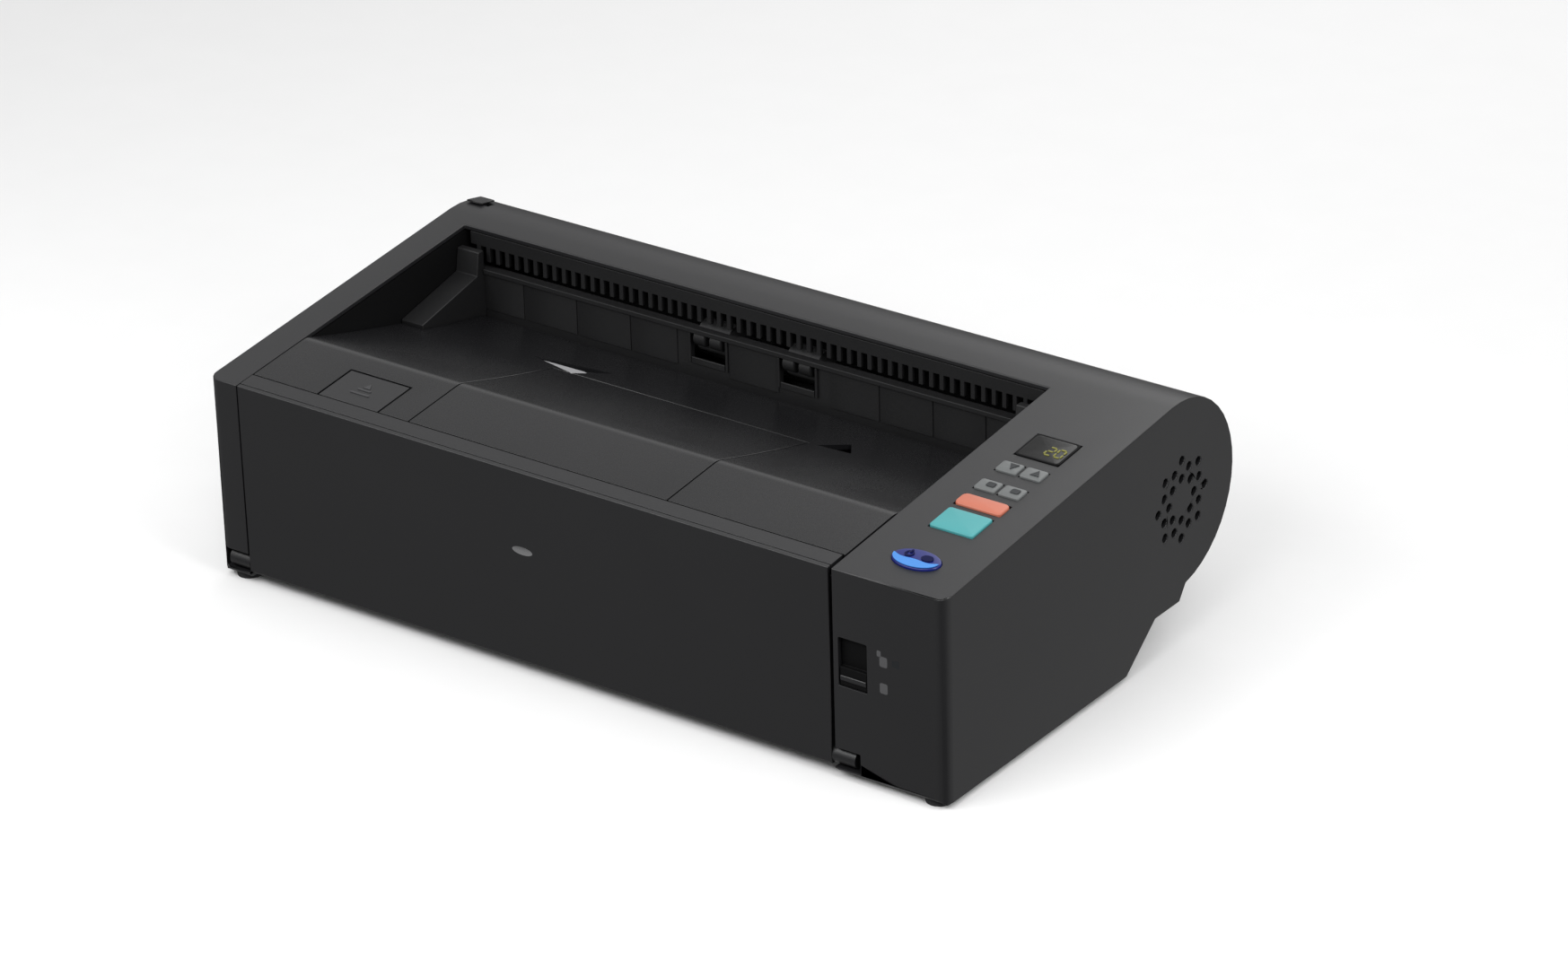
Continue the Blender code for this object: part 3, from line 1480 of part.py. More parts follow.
def make_control_board(material):
    front = POWER_PLACE - POWER_SIZE[1]
    rear = DISPLAY_PLACE + DISPLAY_SIZE[1] / 2
    size = (PANEL_WIDTH - 2 * CONTROL_BOARD_MARGIN, rear - front)
    low = -CONTROL_BOARD_DROP - BOARD_THICKNESS
    return sloped_box(
        "control_board",
        PANEL_CENTRE,
        (front + rear) / 2,
        size,
        low,
        -CONTROL_BOARD_DROP,
        material,
    )


def make_selector(material):
    left = WELL_RIGHT + SELECTOR_SLOT_LEFT
    right = left + SELECTOR_SLOT_WIDTH
    bottom = SELECTOR_SLOT_BOTTOM + SELECTOR_GAP
    knob = box(
        "feed_selector",
        (left + SELECTOR_GAP, FRONT_Y + SELECTOR_RECESS, bottom),
        (right - SELECTOR_GAP, FRONT_Y + WALL + 2 * GAP, bottom + SELECTOR_HEIGHT),
        material,
    )
    travel = selector_travel()
    plate = box(
        "selector_plate",
        (left - SELECTOR_GAP / 2, FRONT_Y + WALL + GAP, bottom - travel - SELECTOR_PLATE_MARGIN),
        (
            right + SELECTOR_PLATE_MARGIN,
            FRONT_Y + WALL + GAP + SELECTOR_PLATE,
            SELECTOR_SLOT_BOTTOM + SELECTOR_SLOT_HEIGHT + SELECTOR_PLATE_MARGIN,
        ),
        cutter=True,
    )
    return join(knob, plate)


def selector_travel():
    return SELECTOR_SLOT_HEIGHT - SELECTOR_HEIGHT - 2 * SELECTOR_GAP


def fan_span():
    right = RIGHT_X - WALL - FAN_WALL_GAP
    return right - FAN_DEPTH, right


def make_fan_frame(material):
    x0, x1 = fan_span()
    half = FAN_SIZE / 2
    y, z = VENT_CENTRE_Y, VENT_CENTRE_Z
    square = [(y - half, z - half), (y + half, z - half), (y + half, z + half), (y - half, z + half)]
    bore = arc(y, z, FAN_BORE, 0, 2 * np.pi, ROUND_STEPS)[:-1]
    frame = outline_solid("fan_frame", [square, bore], x0, x1, material)
    bar = FAN_BACK
    struts = [
        box(
            "fan_strut",
            (x0, y - half + bar / 2, z - bar),
            (x0 + bar, y + half - bar / 2, z + bar),
            cutter=True,
        ),
        rod("fan_boss", x0, x0 + bar, y, z, FAN_HUB, cutter=True),
    ]
    return join(frame, *struts)


def make_fan_rotor(material):
    x0, x1 = fan_span()
    start, end = x0 + FAN_BACK + 2 * GAP, x1 - GAP
    y, z = VENT_CENTRE_Y, VENT_CENTRE_Z
    rotor = turned("fan_rotor", [(start, FAN_HUB), (end, 0)], y, z, material)
    thickness = FAN_BACK / 2
    for number in range(FAN_BLADES):
        blade = box(
            f"fan_blade_{number}",
            (-(end - start) / 2, 0, -thickness / 2),
            ((end - start) / 2, FAN_TIP, thickness / 2),
            cutter=True,
        )
        pitch = Matrix.Rotation(BLADE_PITCH, 4, "Y")
        swing = Matrix.Rotation(number * 2 * np.pi / FAN_BLADES, 4, "X")
        shrink = Matrix.Diagonal((BLADE_NARROWING, 1, 1, 1))
        blade.matrix_world = Matrix.Translation(((start + end) / 2, y, z)) @ swing @ pitch @ shrink
        join(rotor, blade)
    return rotor


def make_main_board(material):
    x0 = BRACKET_X + BRACKET_THICKNESS + 2 * GAP
    return box(
        "main_board",
        (x0, MAIN_BOARD_FRONT, MAIN_BOARD_HEIGHT),
        (RIGHT_X - 2 * WALL, MAIN_BOARD_FRONT + MAIN_BOARD_DEPTH, MAIN_BOARD_HEIGHT + BOARD_THICKNESS),
        material,
    )


def make_socket(name, x, y, z, angle, material):
    half = SOCKET_SIZE / 2
    socket = box(name, (-half, -half, GAP), (half, half, SOCKET_LENGTH), material)
    tilt(socket, x, y, z, angle)
    if name == "usb_socket":
        inner = half - SOCKET_WALL
        cavity = box(
            f"{name}_cavity", (-inner, -inner, -WALL), (inner, inner, SOCKET_CAVITY), cutter=True
        )
        tongue = box(
            f"{name}_tongue",
            (-inner / 2, -inner / 3, 2 * GAP),
            (inner / 2, inner / 3, SOCKET_CAVITY + WALL),
            cutter=True,
        )
    else:
        cavity = upright_rod(f"{name}_cavity", -WALL, SOCKET_CAVITY, JACK_RADIUS)
        tongue = upright_rod(f"{name}_tongue", 2 * GAP, SOCKET_CAVITY + WALL, JACK_PIN_RADIUS)
    tilt(cavity, x, y, z, angle)
    tilt(tongue, x, y, z, angle)
    return join(cut(socket, cavity), tongue)


def upright_rod(name, low, high, radius, material=None):
    mesh = bpy.data.meshes.new(name)
    bm = bmesh.new()
    bmesh.ops.create_cone(
        bm, cap_ends=True, segments=ROUND_STEPS, radius1=radius, radius2=radius, depth=high - low
    )
    bmesh.ops.translate(bm, vec=(0, 0, (low + high) / 2), verts=bm.verts)
    bm.to_mesh(mesh)
    bm.free()
    return add_object(name, mesh, material, cutter=material is None)


def make_foot(name, x, y, material):
    foot = upright_rod(name, 0, FOOT_HEIGHT - GAP, FOOT_RADIUS, material)
    foot.location = (x, y, 0)
    return foot


# Drive


def main_gear_centre():
    """Above and between the two driven rollers, a pitch radius and a half from each."""
    first = np.array((FIRST_DRIVE_Y, below_path(FIRST_DRIVE_Y, DRIVE_RADIUS)))
    second = np.array((SECOND_DRIVE_Y, below_path(SECOND_DRIVE_Y, DRIVE_RADIUS)))
    reach = GEAR_MODULE * (MAIN_TEETH + ROLLER_GEAR_TEETH) / 2
    half = (second - first) / 2
    rise = np.sqrt(reach**2 - half @ half)
    normal = np.array((-half[1], half[0])) / np.linalg.norm(half)
    return tuple((first + second) / 2 + normal * rise)


def motor_centre():
    y, z = main_gear_centre()
    reach = GEAR_MODULE * (MAIN_TEETH + MOTOR_TEETH) / 2
    return y + reach * np.cos(MOTOR_ANGLE), z + reach * np.sin(MOTOR_ANGLE)


def add_gear(obj, teeth, y, z, phase):
    gear = outline_solid(
        f"{obj.name}_teeth", [gear_outline(teeth, y, z, phase)], GEAR_X, GEAR_X + GEAR_WIDTH, cutter=True
    )
    return join(obj, gear)


def make_main_gear(material):
    y, z = main_gear_centre()
    stations = [
        (WELL_RIGHT + GAP, SHAFT_RADIUS),
        (BELT_X, MAIN_PULLEY_RADIUS),
        (BELT_X + BELT_WIDTH, SHAFT_RADIUS),
        (GEAR_X + GEAR_WIDTH, 0),
    ]
    gear = turned("main_gear", stations, y, z, material)
    return add_gear(gear, MAIN_TEETH, y, z, 0)


def make_drive_roller(name, y, material):
    z = below_path(y, DRIVE_RADIUS)
    left = WELL_LEFT - SIDE_FRAME_THICKNESS - GAP
    stations = sleeve_stations(
        pair_sleeves(), left, GEAR_X + GEAR_WIDTH, SHAFT_RADIUS, DRIVE_RADIUS
    )
    roller = turned(name, stations, y, z, material)
    gear_y, gear_z = main_gear_centre()
    direction = np.arctan2(z - gear_z, y - gear_y)
    phase = meshing_phase(ROLLER_GEAR_TEETH, MAIN_TEETH, 0, direction)
    return add_gear(roller, ROLLER_GEAR_TEETH, y, z, phase)


def make_motor_pinion(material):
    y, z = motor_centre()
    stations = [
        (GEAR_X - GAP, SHAFT_RADIUS),
        (GEAR_X + GEAR_WIDTH, SHAFT_RADIUS * MOTOR_SHAFT_SHARE),
        (BRACKET_X + BRACKET_THICKNESS + GAP, 0),
    ]
    pinion = turned("motor_pinion", stations, y, z, material)
    phase = meshing_phase(MOTOR_TEETH, MAIN_TEETH, 0, MOTOR_ANGLE)
    return add_gear(pinion, MOTOR_TEETH, y, z, phase)


def make_drive_motor(material):
    y, z = motor_centre()
    start = BRACKET_X + BRACKET_THICKNESS + 2 * GAP
    stations = [
        (start, MOTOR_RADIUS),
        (start + MOTOR_LENGTH, MOTOR_RADIUS / 3),
        (start + MOTOR_LENGTH + WALL, 0),
    ]
    return turned("drive_motor", stations, y, z, material)


def make_motor_bracket(material):
    """A plate that carries the motor, standing on three posts on the side frame."""
    y, z = main_gear_centre()
    motor_y, motor_z = motor_centre()
    reach = GEAR_MODULE * MAIN_TEETH / 2 + 2 * STANDOFF_RADIUS + STACK_GAP * 2
    posts = [
        (y + reach * np.cos(angle), z + reach * np.sin(angle)) for angle in BRACKET_ANGLES
    ]
    margin = BRACKET_MARGIN
    left = posts[0][0] - margin
    right = motor_y + MOTOR_RADIUS + margin / 2
    drop = CONTROL_BOARD_DROP + BOARD_THICKNESS + 2 * WALL
    outline = [
        (left, posts[2][1] - margin),
        (right, posts[2][1] - margin),
        (right, top_height(right) - drop),
        (left, top_height(left) - drop),
    ]
    hole = arc(motor_y, motor_z, SHAFT_RADIUS + GAP, 0, 2 * np.pi, ROUND_STEPS)[:-1]
    bracket = outline_solid(
        "motor_bracket", [outline, hole], BRACKET_X, BRACKET_X + BRACKET_THICKNESS, material
    )
    start = WELL_RIGHT + SIDE_FRAME_THICKNESS + GAP
    for number, (post_y, post_z) in enumerate(posts):
        post = rod(
            f"bracket_post_{number}",
            start,
            BRACKET_X + BRACKET_THICKNESS / 2,
            post_y,
            post_z,
            STANDOFF_RADIUS,
            cutter=True,
            steps=BRACKET_STEPS,
        )
        join(bracket, post)
    return bracket


def turn_roller_place():
    y = TURN_CENTRE_Y + TURN_RADIUS - 2 * PATH_HALF_GAP - TURN_ROLLER_RADIUS
    return y, TURN_CENTRE_Z


def exit_roller_place():
    return EXIT_ROLLER_Y, EXIT_PATH_Z - EXIT_ROLLER_RADIUS - SLEEVE_RADIAL_GAP


def pulley_radius(roller_radius):
    """Pulley that gives a belt-driven roller the same surface speed as the geared ones."""
    surface = DRIVE_RADIUS * MAIN_TEETH / ROLLER_GEAR_TEETH
    return MAIN_PULLEY_RADIUS * roller_radius / surface


def make_belt_roller(name, place, radius, material):
    left = WELL_LEFT - SIDE_FRAME_THICKNESS - GAP
    right = BELT_X + BELT_WIDTH + GAP
    stations = sleeve_stations(
        pair_sleeves(), left, right, SHAFT_RADIUS, radius, pulley_radius(radius)
    )
    return turned(name, stations, *place, material)


def make_retard_roller(material):
    left = WELL_LEFT - SIDE_FRAME_THICKNESS - GAP
    right = WELL_RIGHT + SIDE_FRAME_THICKNESS + GAP
    stations = sleeve_stations(centre_sleeve(), left, right, SHAFT_RADIUS, RETARD_RADIUS)
    z = below_path(FEED_Y, RETARD_RADIUS)
    return turned("retard_roller", stations, FEED_Y, z, material)


def make_timing_belt(material):
    wheels = [
        (*main_gear_centre(), MAIN_PULLEY_RADIUS),
        (*turn_roller_place(), pulley_radius(TURN_ROLLER_RADIUS)),
        (*exit_roller_place(), pulley_radius(EXIT_ROLLER_RADIUS)),
    ]
    outer = belt_outline(wheels, BELT_GAP + BELT_THICKNESS)
    inner = belt_outline(wheels, BELT_GAP)
    return outline_solid(
        "timing_belt", [outer, inner], BELT_X + GAP, BELT_X + BELT_WIDTH - GAP, material
    )


# Finishes


def charcoal(name):
    return make_material(name, (0.045, 0.046, 0.048), 0.55)


def black_plastic(name):
    return make_material(name, (0.014, 0.014, 0.015), 0.5)


def grey_plastic(name):
    return make_material(name, (0.09, 0.092, 0.095), 0.5)


def rubber(name):
    return make_material(name, (0.02, 0.02, 0.021), 0.85)


def white_plastic(name):
    return make_material(name, (0.7, 0.69, 0.65), 0.4)


def glass(name):
    return make_material(name, (0.02, 0.025, 0.025), 0.05)


def steel(name):
    return make_material(name, (0.55, 0.55, 0.56), 0.32, 1.0)


def green_board(name):
    return make_material(name, (0.02, 0.12, 0.05), 0.5)


def key_finish(name):
    colours = {
        "power_key": (0.03, 0.06, 0.14),
        "start_key": (0.03, 0.17, 0.17),
        "stop_key": (0.5, 0.17, 0.1),
    }
    return make_material(name, colours.get(name, (0.2, 0.2, 0.21)), 0.35)


# Assembly


def shaft_holes():
    """(y, z, radius) of the shafts that both side frames carry."""
    driven = [(y, below_path(y, DRIVE_RADIUS), SHAFT_RADIUS) for y in (FIRST_DRIVE_Y, SECOND_DRIVE_Y)]
    belted = [(*turn_roller_place(), SHAFT_RADIUS), (*exit_roller_place(), SHAFT_RADIUS)]
    retard = (FEED_Y, below_path(FEED_Y, RETARD_RADIUS), SHAFT_RADIUS)
    return driven + belted + [retard, (LIFT_AXIS_Y, LIFT_AXIS_Z, LIFT_ROD_RADIUS)]


def build_body():
    make_main_housing(charcoal("main_housing"))
    make_base_chassis(black_plastic("base_chassis"))
    thickness = SIDE_FRAME_THICKNESS
    make_side_frame(
        "left_side_frame", WELL_LEFT - thickness, WELL_LEFT, shaft_holes(), black_plastic("left_side_frame")
    )
    make_side_frame(
        "right_side_frame",
        WELL_RIGHT,
        WELL_RIGHT + thickness,
        shaft_holes() + [(*main_gear_centre(), SHAFT_RADIUS)],
        black_plastic("right_side_frame"),
    )
    make_exit_wall(black_plastic("exit_wall"))
    make_exit_comb(black_plastic("exit_comb"))
    left = WELL_LEFT + GAP
    right = WELL_RIGHT - GAP
    make_corner_guide(
        "left_corner_guide", left, left + CORNER_GUIDE_WIDTH, black_plastic("left_corner_guide")
    )
    make_corner_guide(
        "right_corner_guide", right - CORNER_GUIDE_WIDTH, right, black_plastic("right_corner_guide")
    )
    make_turn_guide(black_plastic("turn_guide"))
    make_path_guide(grey_plastic("lower_path_guide"))
    make_sensor(
        "lower", LOWER_SENSOR_Y, -1, black_plastic("lower_image_sensor"), glass("lower_sensor_glass")
    )
    lift_left = WELL_LEFT - thickness
    lift_right = WELL_RIGHT + thickness
    rod(
        "lift_rod",
        lift_left,
        lift_right,
        LIFT_AXIS_Y,
        LIFT_AXIS_Z,
        LIFT_ROD_RADIUS,
        steel("lift_rod"),
    )
    for name, x, y in (
        ("front_left_foot", LEFT_X + FOOT_INSET_X, FOOT_FRONT_Y),
        ("front_right_foot", RIGHT_X - FOOT_INSET_X, FOOT_FRONT_Y),
        ("rear_left_foot", LEFT_X + FOOT_INSET_X, FOOT_REAR_Y),
        ("rear_right_foot", RIGHT_X - FOOT_INSET_X, FOOT_REAR_Y),
    ):
        make_foot(name, x, y, rubber(name))


def build_feed_tray():
    tray = pivot("feed_tray_pivot", WELL_CENTRE, *TRAY_AXIS)
    attach(make_feed_tray_cover(charcoal("feed_tray_cover")), tray)
    attach(make_feed_tray_plate(black_plastic("feed_tray_plate")), tray)
    attach(make_feed_extension(charcoal("feed_extension")), tray)
    attach(make_paper_guide(-1, "left_paper_guide", black_plastic("left_paper_guide")), tray)
    attach(make_paper_guide(1, "right_paper_guide", black_plastic("right_paper_guide")), tray)
    pinion = make_guide_pinion(white_plastic("guide_pinion"))
    move_origin(pinion, (WELL_CENTRE, sum(rack_layer()) / 2, PINION_HEIGHT))
    attach(pinion, tray)


def build_lifting_unit():
    unit = pivot("lifting_unit_pivot", WELL_CENTRE, LIFT_AXIS_Y, LIFT_AXIS_Z)
    attach(make_eject_tray(charcoal("eject_tray")), unit)
    attach(make_upper_carrier(grey_plastic("upper_carrier")), unit)
    sensor, pane = make_sensor(
        "upper", UPPER_SENSOR_Y, 1, black_plastic("upper_image_sensor"), glass("upper_sensor_glass")
    )
    attach(sensor, unit)
    attach(pane, unit)
    flap = make_eject_flap(charcoal("eject_flap"))
    move_origin(flap, (FLAP_CENTRE_X, LAND_FRONT, top_height(LAND_FRONT)))
    attach(flap, unit)
    attach(make_open_button(charcoal("open_button")), unit)
    for number, name in enumerate(
        ("pickup_roller", "feed_roller", "first_pinch_roller", "second_pinch_roller")
    ):
        attach(make_upper_roller(name, number, rubber(name)), unit)


def build_drive():
    make_retard_roller(rubber("retard_roller"))
    make_drive_roller("first_drive_roller", FIRST_DRIVE_Y, rubber("first_drive_roller"))
    make_drive_roller("second_drive_roller", SECOND_DRIVE_Y, rubber("second_drive_roller"))
    make_belt_roller("turn_roller", turn_roller_place(), TURN_ROLLER_RADIUS, rubber("turn_roller"))
    make_belt_roller("exit_roller", exit_roller_place(), EXIT_ROLLER_RADIUS, rubber("exit_roller"))
    make_main_gear(white_plastic("main_gear"))
    make_motor_pinion(steel("motor_pinion"))
    make_drive_motor(steel("drive_motor"))
    make_motor_bracket(steel("motor_bracket"))
    make_timing_belt(rubber("timing_belt"))


def build_rear():
    y, z = door_axis()
    cover = pivot("rear_cover_pivot", WELL_CENTRE, y, z)
    attach(make_rear_cover(charcoal("rear_cover")), cover)
    make_rear_latch(charcoal("rear_cover_latch"))


def build_panel():
    for name, shape, x, along, size in key_layout():
        make_key(name, shape, x, along, size, key_finish(name))
    make_display(glass("display_window"))
    make_control_board(green_board("control_board"))
    make_selector(charcoal("feed_selector"))
    make_fan_frame(black_plastic("fan_frame"))
    make_fan_rotor(black_plastic("fan_rotor"))
    make_main_board(green_board("main_board"))
    for name, x, y, z, angle in socket_places():
        make_socket(name, x, y, z, angle, black_plastic(name))


clear_scene()
PARTS = new_collection("Document scanner")
CUTTERS = new_collection("Cutters")
CUTTERS.hide_render = True
build_body()
build_feed_tray()
build_lifting_unit()
build_drive()
build_rear()
build_panel()
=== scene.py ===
import json
import math
import bpy
import bmesh
import numpy as np
from mathutils import Matrix, Vector


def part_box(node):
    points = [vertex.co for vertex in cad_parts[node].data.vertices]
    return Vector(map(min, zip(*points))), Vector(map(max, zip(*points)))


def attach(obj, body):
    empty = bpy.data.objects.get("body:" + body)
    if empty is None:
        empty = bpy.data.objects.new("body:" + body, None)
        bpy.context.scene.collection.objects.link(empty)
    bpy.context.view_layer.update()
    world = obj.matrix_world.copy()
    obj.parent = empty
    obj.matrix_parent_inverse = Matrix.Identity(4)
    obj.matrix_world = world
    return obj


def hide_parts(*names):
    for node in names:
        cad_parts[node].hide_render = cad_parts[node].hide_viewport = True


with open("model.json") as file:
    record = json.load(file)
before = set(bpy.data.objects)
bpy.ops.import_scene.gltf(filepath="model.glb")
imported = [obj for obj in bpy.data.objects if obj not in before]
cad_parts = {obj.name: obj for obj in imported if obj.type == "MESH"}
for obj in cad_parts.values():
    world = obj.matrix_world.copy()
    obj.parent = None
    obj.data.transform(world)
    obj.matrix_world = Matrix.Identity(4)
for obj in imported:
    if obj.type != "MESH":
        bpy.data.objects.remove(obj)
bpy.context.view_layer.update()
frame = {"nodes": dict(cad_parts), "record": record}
cad = frame["nodes"]
scene = bpy.context.scene
scene.view_settings.view_transform = "Standard"
mm = 0.001
print("frame loaded:", len(cad), "nodes")


# camera and light

camera = {"place": (1.4577, -1.9104, 1.2396), "azimuth": 36.604, "elevation": 26.232,
          "roll": -1.5286, "lens": 129.76, "sensor": 36.0}


def aimCamera(spec):
    # a level view direction turned by azimuth, dipped by elevation, then rolled about itself
    data = bpy.data.cameras.new("view")
    data.sensor_width = spec["sensor"]
    data.lens = spec["lens"]
    data.clip_end = 50
    made = bpy.data.objects.new("view", data)
    scene.collection.objects.link(made)
    az, el, roll = (math.radians(spec[k]) for k in ("azimuth", "elevation", "roll"))
    ahead = np.array([-math.sin(az) * math.cos(el), math.cos(az) * math.cos(el), -math.sin(el)])
    right = np.array([math.cos(az), math.sin(az), 0.0])
    up = np.cross(right, ahead)
    across = math.cos(roll) * right + math.sin(roll) * up
    upward = -math.sin(roll) * right + math.cos(roll) * up
    turn = np.eye(4)
    turn[:3, 0] = across
    turn[:3, 1] = upward
    turn[:3, 2] = -ahead
    turn[:3, 3] = spec["place"]
    made.matrix_world = Matrix(turn.tolist())
    scene.camera = made


aimCamera(camera)


# shader helper


class Wire:
    # one shader socket: arithmetic on it adds Math nodes, and node() adds any other node
    def __init__(self, tree, socket):
        self.tree = tree
        self.socket = socket

    def math(self, operation, *others):
        values = {i: v for i, v in enumerate((self,) + others)}
        return self.node("ShaderNodeMath", {"operation": operation}, values)

    def node(self, kind, settings=None, inputs=None, out=0):
        made = self.tree.nodes.new(kind)
        for name, value in (settings or {}).items():
            if name == "stops":
                ramp = made.color_ramp
                while len(ramp.elements) < len(value):
                    ramp.elements.new(0.5)
                for element, (place, shade) in zip(ramp.elements, value):
                    element.position = place
                    element.color = tuple(shade) + (1.0,)
            else:
                setattr(made, name, value)
        for name, value in (inputs or {}).items():
            plug(self.tree, made.inputs[name], value)
        return Wire(self.tree, made.outputs[out])

    def __add__(self, other):
        return self.math("ADD", other)

    __radd__ = __add__

    def __sub__(self, other):
        return self.math("SUBTRACT", other)

    def __rsub__(self, other):
        return self.node("ShaderNodeMath", {"operation": "SUBTRACT"}, {0: other, 1: self})

    def __mul__(self, other):
        return self.math("MULTIPLY", other)

    __rmul__ = __mul__

    def __truediv__(self, other):
        return self.math("DIVIDE", other)

    def __rtruediv__(self, other):
        return self.node("ShaderNodeMath", {"operation": "DIVIDE"}, {0: other, 1: self})

    def __pow__(self, other):
        return self.math("POWER", other)


def plug(tree, socket, value):
    if isinstance(value, Wire):
        tree.links.new(value.socket, socket)
    elif isinstance(value, (tuple, list)) and len(value) == 3 and socket.type == "RGBA":
        socket.default_value = tuple(value) + (1.0,)
    else:
        socket.default_value = value


def newMaterial(name, fixed):
    made = bpy.data.materials.new(name)
    made.use_nodes = True
    tree = made.node_tree
    shader = tree.nodes["Principled BSDF"]
    for key, value in fixed.items():
        plug(tree, shader.inputs[key], value)
    place = Wire(tree, tree.nodes.new("ShaderNodeTexCoord").outputs["Object"])
    return made, shader, place


def noise(place, scale, detail=2.0, rough=0.5):
    return place.node("ShaderNodeTexNoise", {}, {"Vector": place, "Scale": scale, "Detail": detail,
                                                 "Roughness": rough})


def mixColour(place, factor, first, second):
    return place.node("ShaderNodeMix", {"data_type": "RGBA"}, {0: factor, 6: first, 7: second}, 2)


def bump(place, height, distance):
    return place.node("ShaderNodeBump", {}, {"Height": height, "Distance": distance, "Strength": 1.0})


grainWork = {"detail": 3.0, "fineRoughness": 0.6, "slowShare": 0.7, "fineShare": 0.3,
             "slowWander": 0.08, "fineWander": 0.1}


def moulded(name, dark, light, rough, grain, depth, cloud=18.0, specular=0.4, metal=0.0):
    # two close shades over slow noise, spark-eroded grain in the bump, roughness that wanders a little
    made, shader, place = newMaterial(name, {"Specular IOR Level": specular, "Metallic": metal})
    slow = noise(place, cloud, grainWork["detail"])
    fine = noise(place, grain, grainWork["detail"], grainWork["fineRoughness"])
    shade = slow * grainWork["slowShare"] + fine * grainWork["fineShare"]
    wander = (slow - 0.5) * grainWork["slowWander"] + (fine - 0.5) * grainWork["fineWander"]
    plug(made.node_tree, shader.inputs["Base Color"], mixColour(place, shade, dark, light))
    plug(made.node_tree, shader.inputs["Roughness"], wander + rough)
    plug(made.node_tree, shader.inputs["Normal"], bump(place, fine, depth))
    return made


finishes = {
    "housing": moulded("charcoal moulding", (0.0085, 0.0085, 0.0095), (0.0115, 0.0115, 0.0125),
                       0.40, 2400, 0.00005, specular=0.5),
    "tray_cover": moulded("front cover moulding", (0.008, 0.008, 0.009), (0.0105, 0.0105, 0.0115),
                          0.42, 2400, 0.00005, specular=0.5),
    "inner_black": moulded("inner black moulding", (0.006, 0.006, 0.0065), (0.009, 0.009, 0.0095),
                           0.5, 1800, 0.00008),
    "guide_grey": moulded("guide grey moulding", (0.10, 0.10, 0.105), (0.13, 0.13, 0.135),
                          0.42, 2200, 0.00005),
    "rubber": moulded("soft rubber", (0.02, 0.02, 0.021), (0.035, 0.035, 0.036),
                      0.78, 900, 0.00012, 40.0, 0.25),
    "gear_white": moulded("acetal gear", (0.72, 0.70, 0.64), (0.80, 0.78, 0.73),
                          0.35, 1500, 0.00003),
    "steel": moulded("turned steel", (0.42, 0.42, 0.43), (0.55, 0.55, 0.56),
                     0.28, 1200, 0.00002, 30.0, 0.5, 1.0),
    "sensor_glass": moulded("sensor glass", (0.02, 0.024, 0.026), (0.03, 0.034, 0.036),
                            0.06, 300, 0.00001),
    "display_glass": moulded("display glass", (0.004, 0.004, 0.004), (0.006, 0.006, 0.006),
                             0.12, 300, 0.00001, specular=0.3),
    "board_green": moulded("solder mask", (0.01, 0.09, 0.035), (0.015, 0.13, 0.05),
                           0.35, 500, 0.00004),
    "key_blue": moulded("power key", (0.004, 0.008, 0.10), (0.006, 0.012, 0.14),
                        0.3, 1500, 0.00002),
    "key_teal": moulded("start key", (0.05, 0.26, 0.27), (0.06, 0.29, 0.30),
                        0.35, 1500, 0.00002),
    "key_orange": moulded("stop key", (0.42, 0.125, 0.08), (0.47, 0.145, 0.09),
                          0.35, 1500, 0.00002),
    "key_grey": moulded("small key", (0.10, 0.105, 0.105), (0.13, 0.137, 0.137),
                        0.4, 1500, 0.00002),
}
print("finishes:", len(finishes))


# finished copies of the CAD mouldings

edgeWork = {"turn": 28.0, "flat": 0.4, "weld": 0.000002, "room": 2.5, "segments": 2, "past": 0.0001,
            "spared": ((0.166, -0.108, 0.09), (0.197, 0.022, 0.125))}
slotOf = {n: o.data.materials[0].name for n, o in cad.items()}
bodyOf = {n: b for b, members in frame["record"]["behaviour"]["bodies"].items() for n in members}


def setFinish(piece, finish, body=None):
    piece.data.materials.clear()
    piece.data.materials.append(finish)
    if body:
        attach(piece, body)
    return piece


def finishedCopy(node, name, width, flat=True):
    # the node's points merged and its flats dissolved; sharp edges get a Bevel where it has room,
    # away from the thin webs between the keys
    mesh = cad[node].data.copy()
    mesh.name = name
    if "custom_normal" in mesh.attributes:
        mesh.attributes.remove(mesh.attributes["custom_normal"])
    work = bmesh.new()
    work.from_mesh(mesh)
    bmesh.ops.remove_doubles(work, verts=work.verts, dist=edgeWork["weld"])
    if flat:
        bmesh.ops.dissolve_limit(work, angle_limit=math.radians(edgeWork["flat"]), verts=work.verts,
                                 edges=work.edges)
    for face in work.faces:
        face.smooth = True
    weights = work.edges.layers.float.new("bevel_weight_edge")
    turn = math.radians(edgeWork["turn"])
    near, far = [Vector(corner) for corner in edgeWork["spared"]]
    for edge in work.edges:
        sharp = len(edge.link_faces) == 2 and edge.calc_face_angle(0.0) > turn
        middle = (edge.verts[0].co + edge.verts[1].co) / 2
        spared = all(near[k] < middle[k] < far[k] for k in range(3))
        roomy = edge.calc_length() > edgeWork["room"] * width and not spared
        edge[weights] = 1.0 if sharp and roomy else 0.0
        edge.smooth = not sharp or roomy
    work.to_mesh(mesh)
    work.free()
    made = bpy.data.objects.new(name, mesh)
    scene.collection.objects.link(made)
    rounding = made.modifiers.new("rounded edges", "BEVEL")
    rounding.width = width
    rounding.segments = edgeWork["segments"]
    rounding.limit_method = "WEIGHT"
    rounding.use_clamp_overlap = False
    rounding.harden_normals = True
    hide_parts(node)
    return setFinish(made, finishes[slotOf[node]], bodyOf[node])


def grown(piece, node):
    # how far the finished piece passes its CAD box
    bpy.context.view_layer.update()
    low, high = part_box(node)
    shape = np.array(piece.evaluated_get(bpy.context.evaluated_depsgraph_get()).bound_box)
    return max((np.array(low) - shape.min(0)).max(), (shape.max(0) - np.array(high)).max())


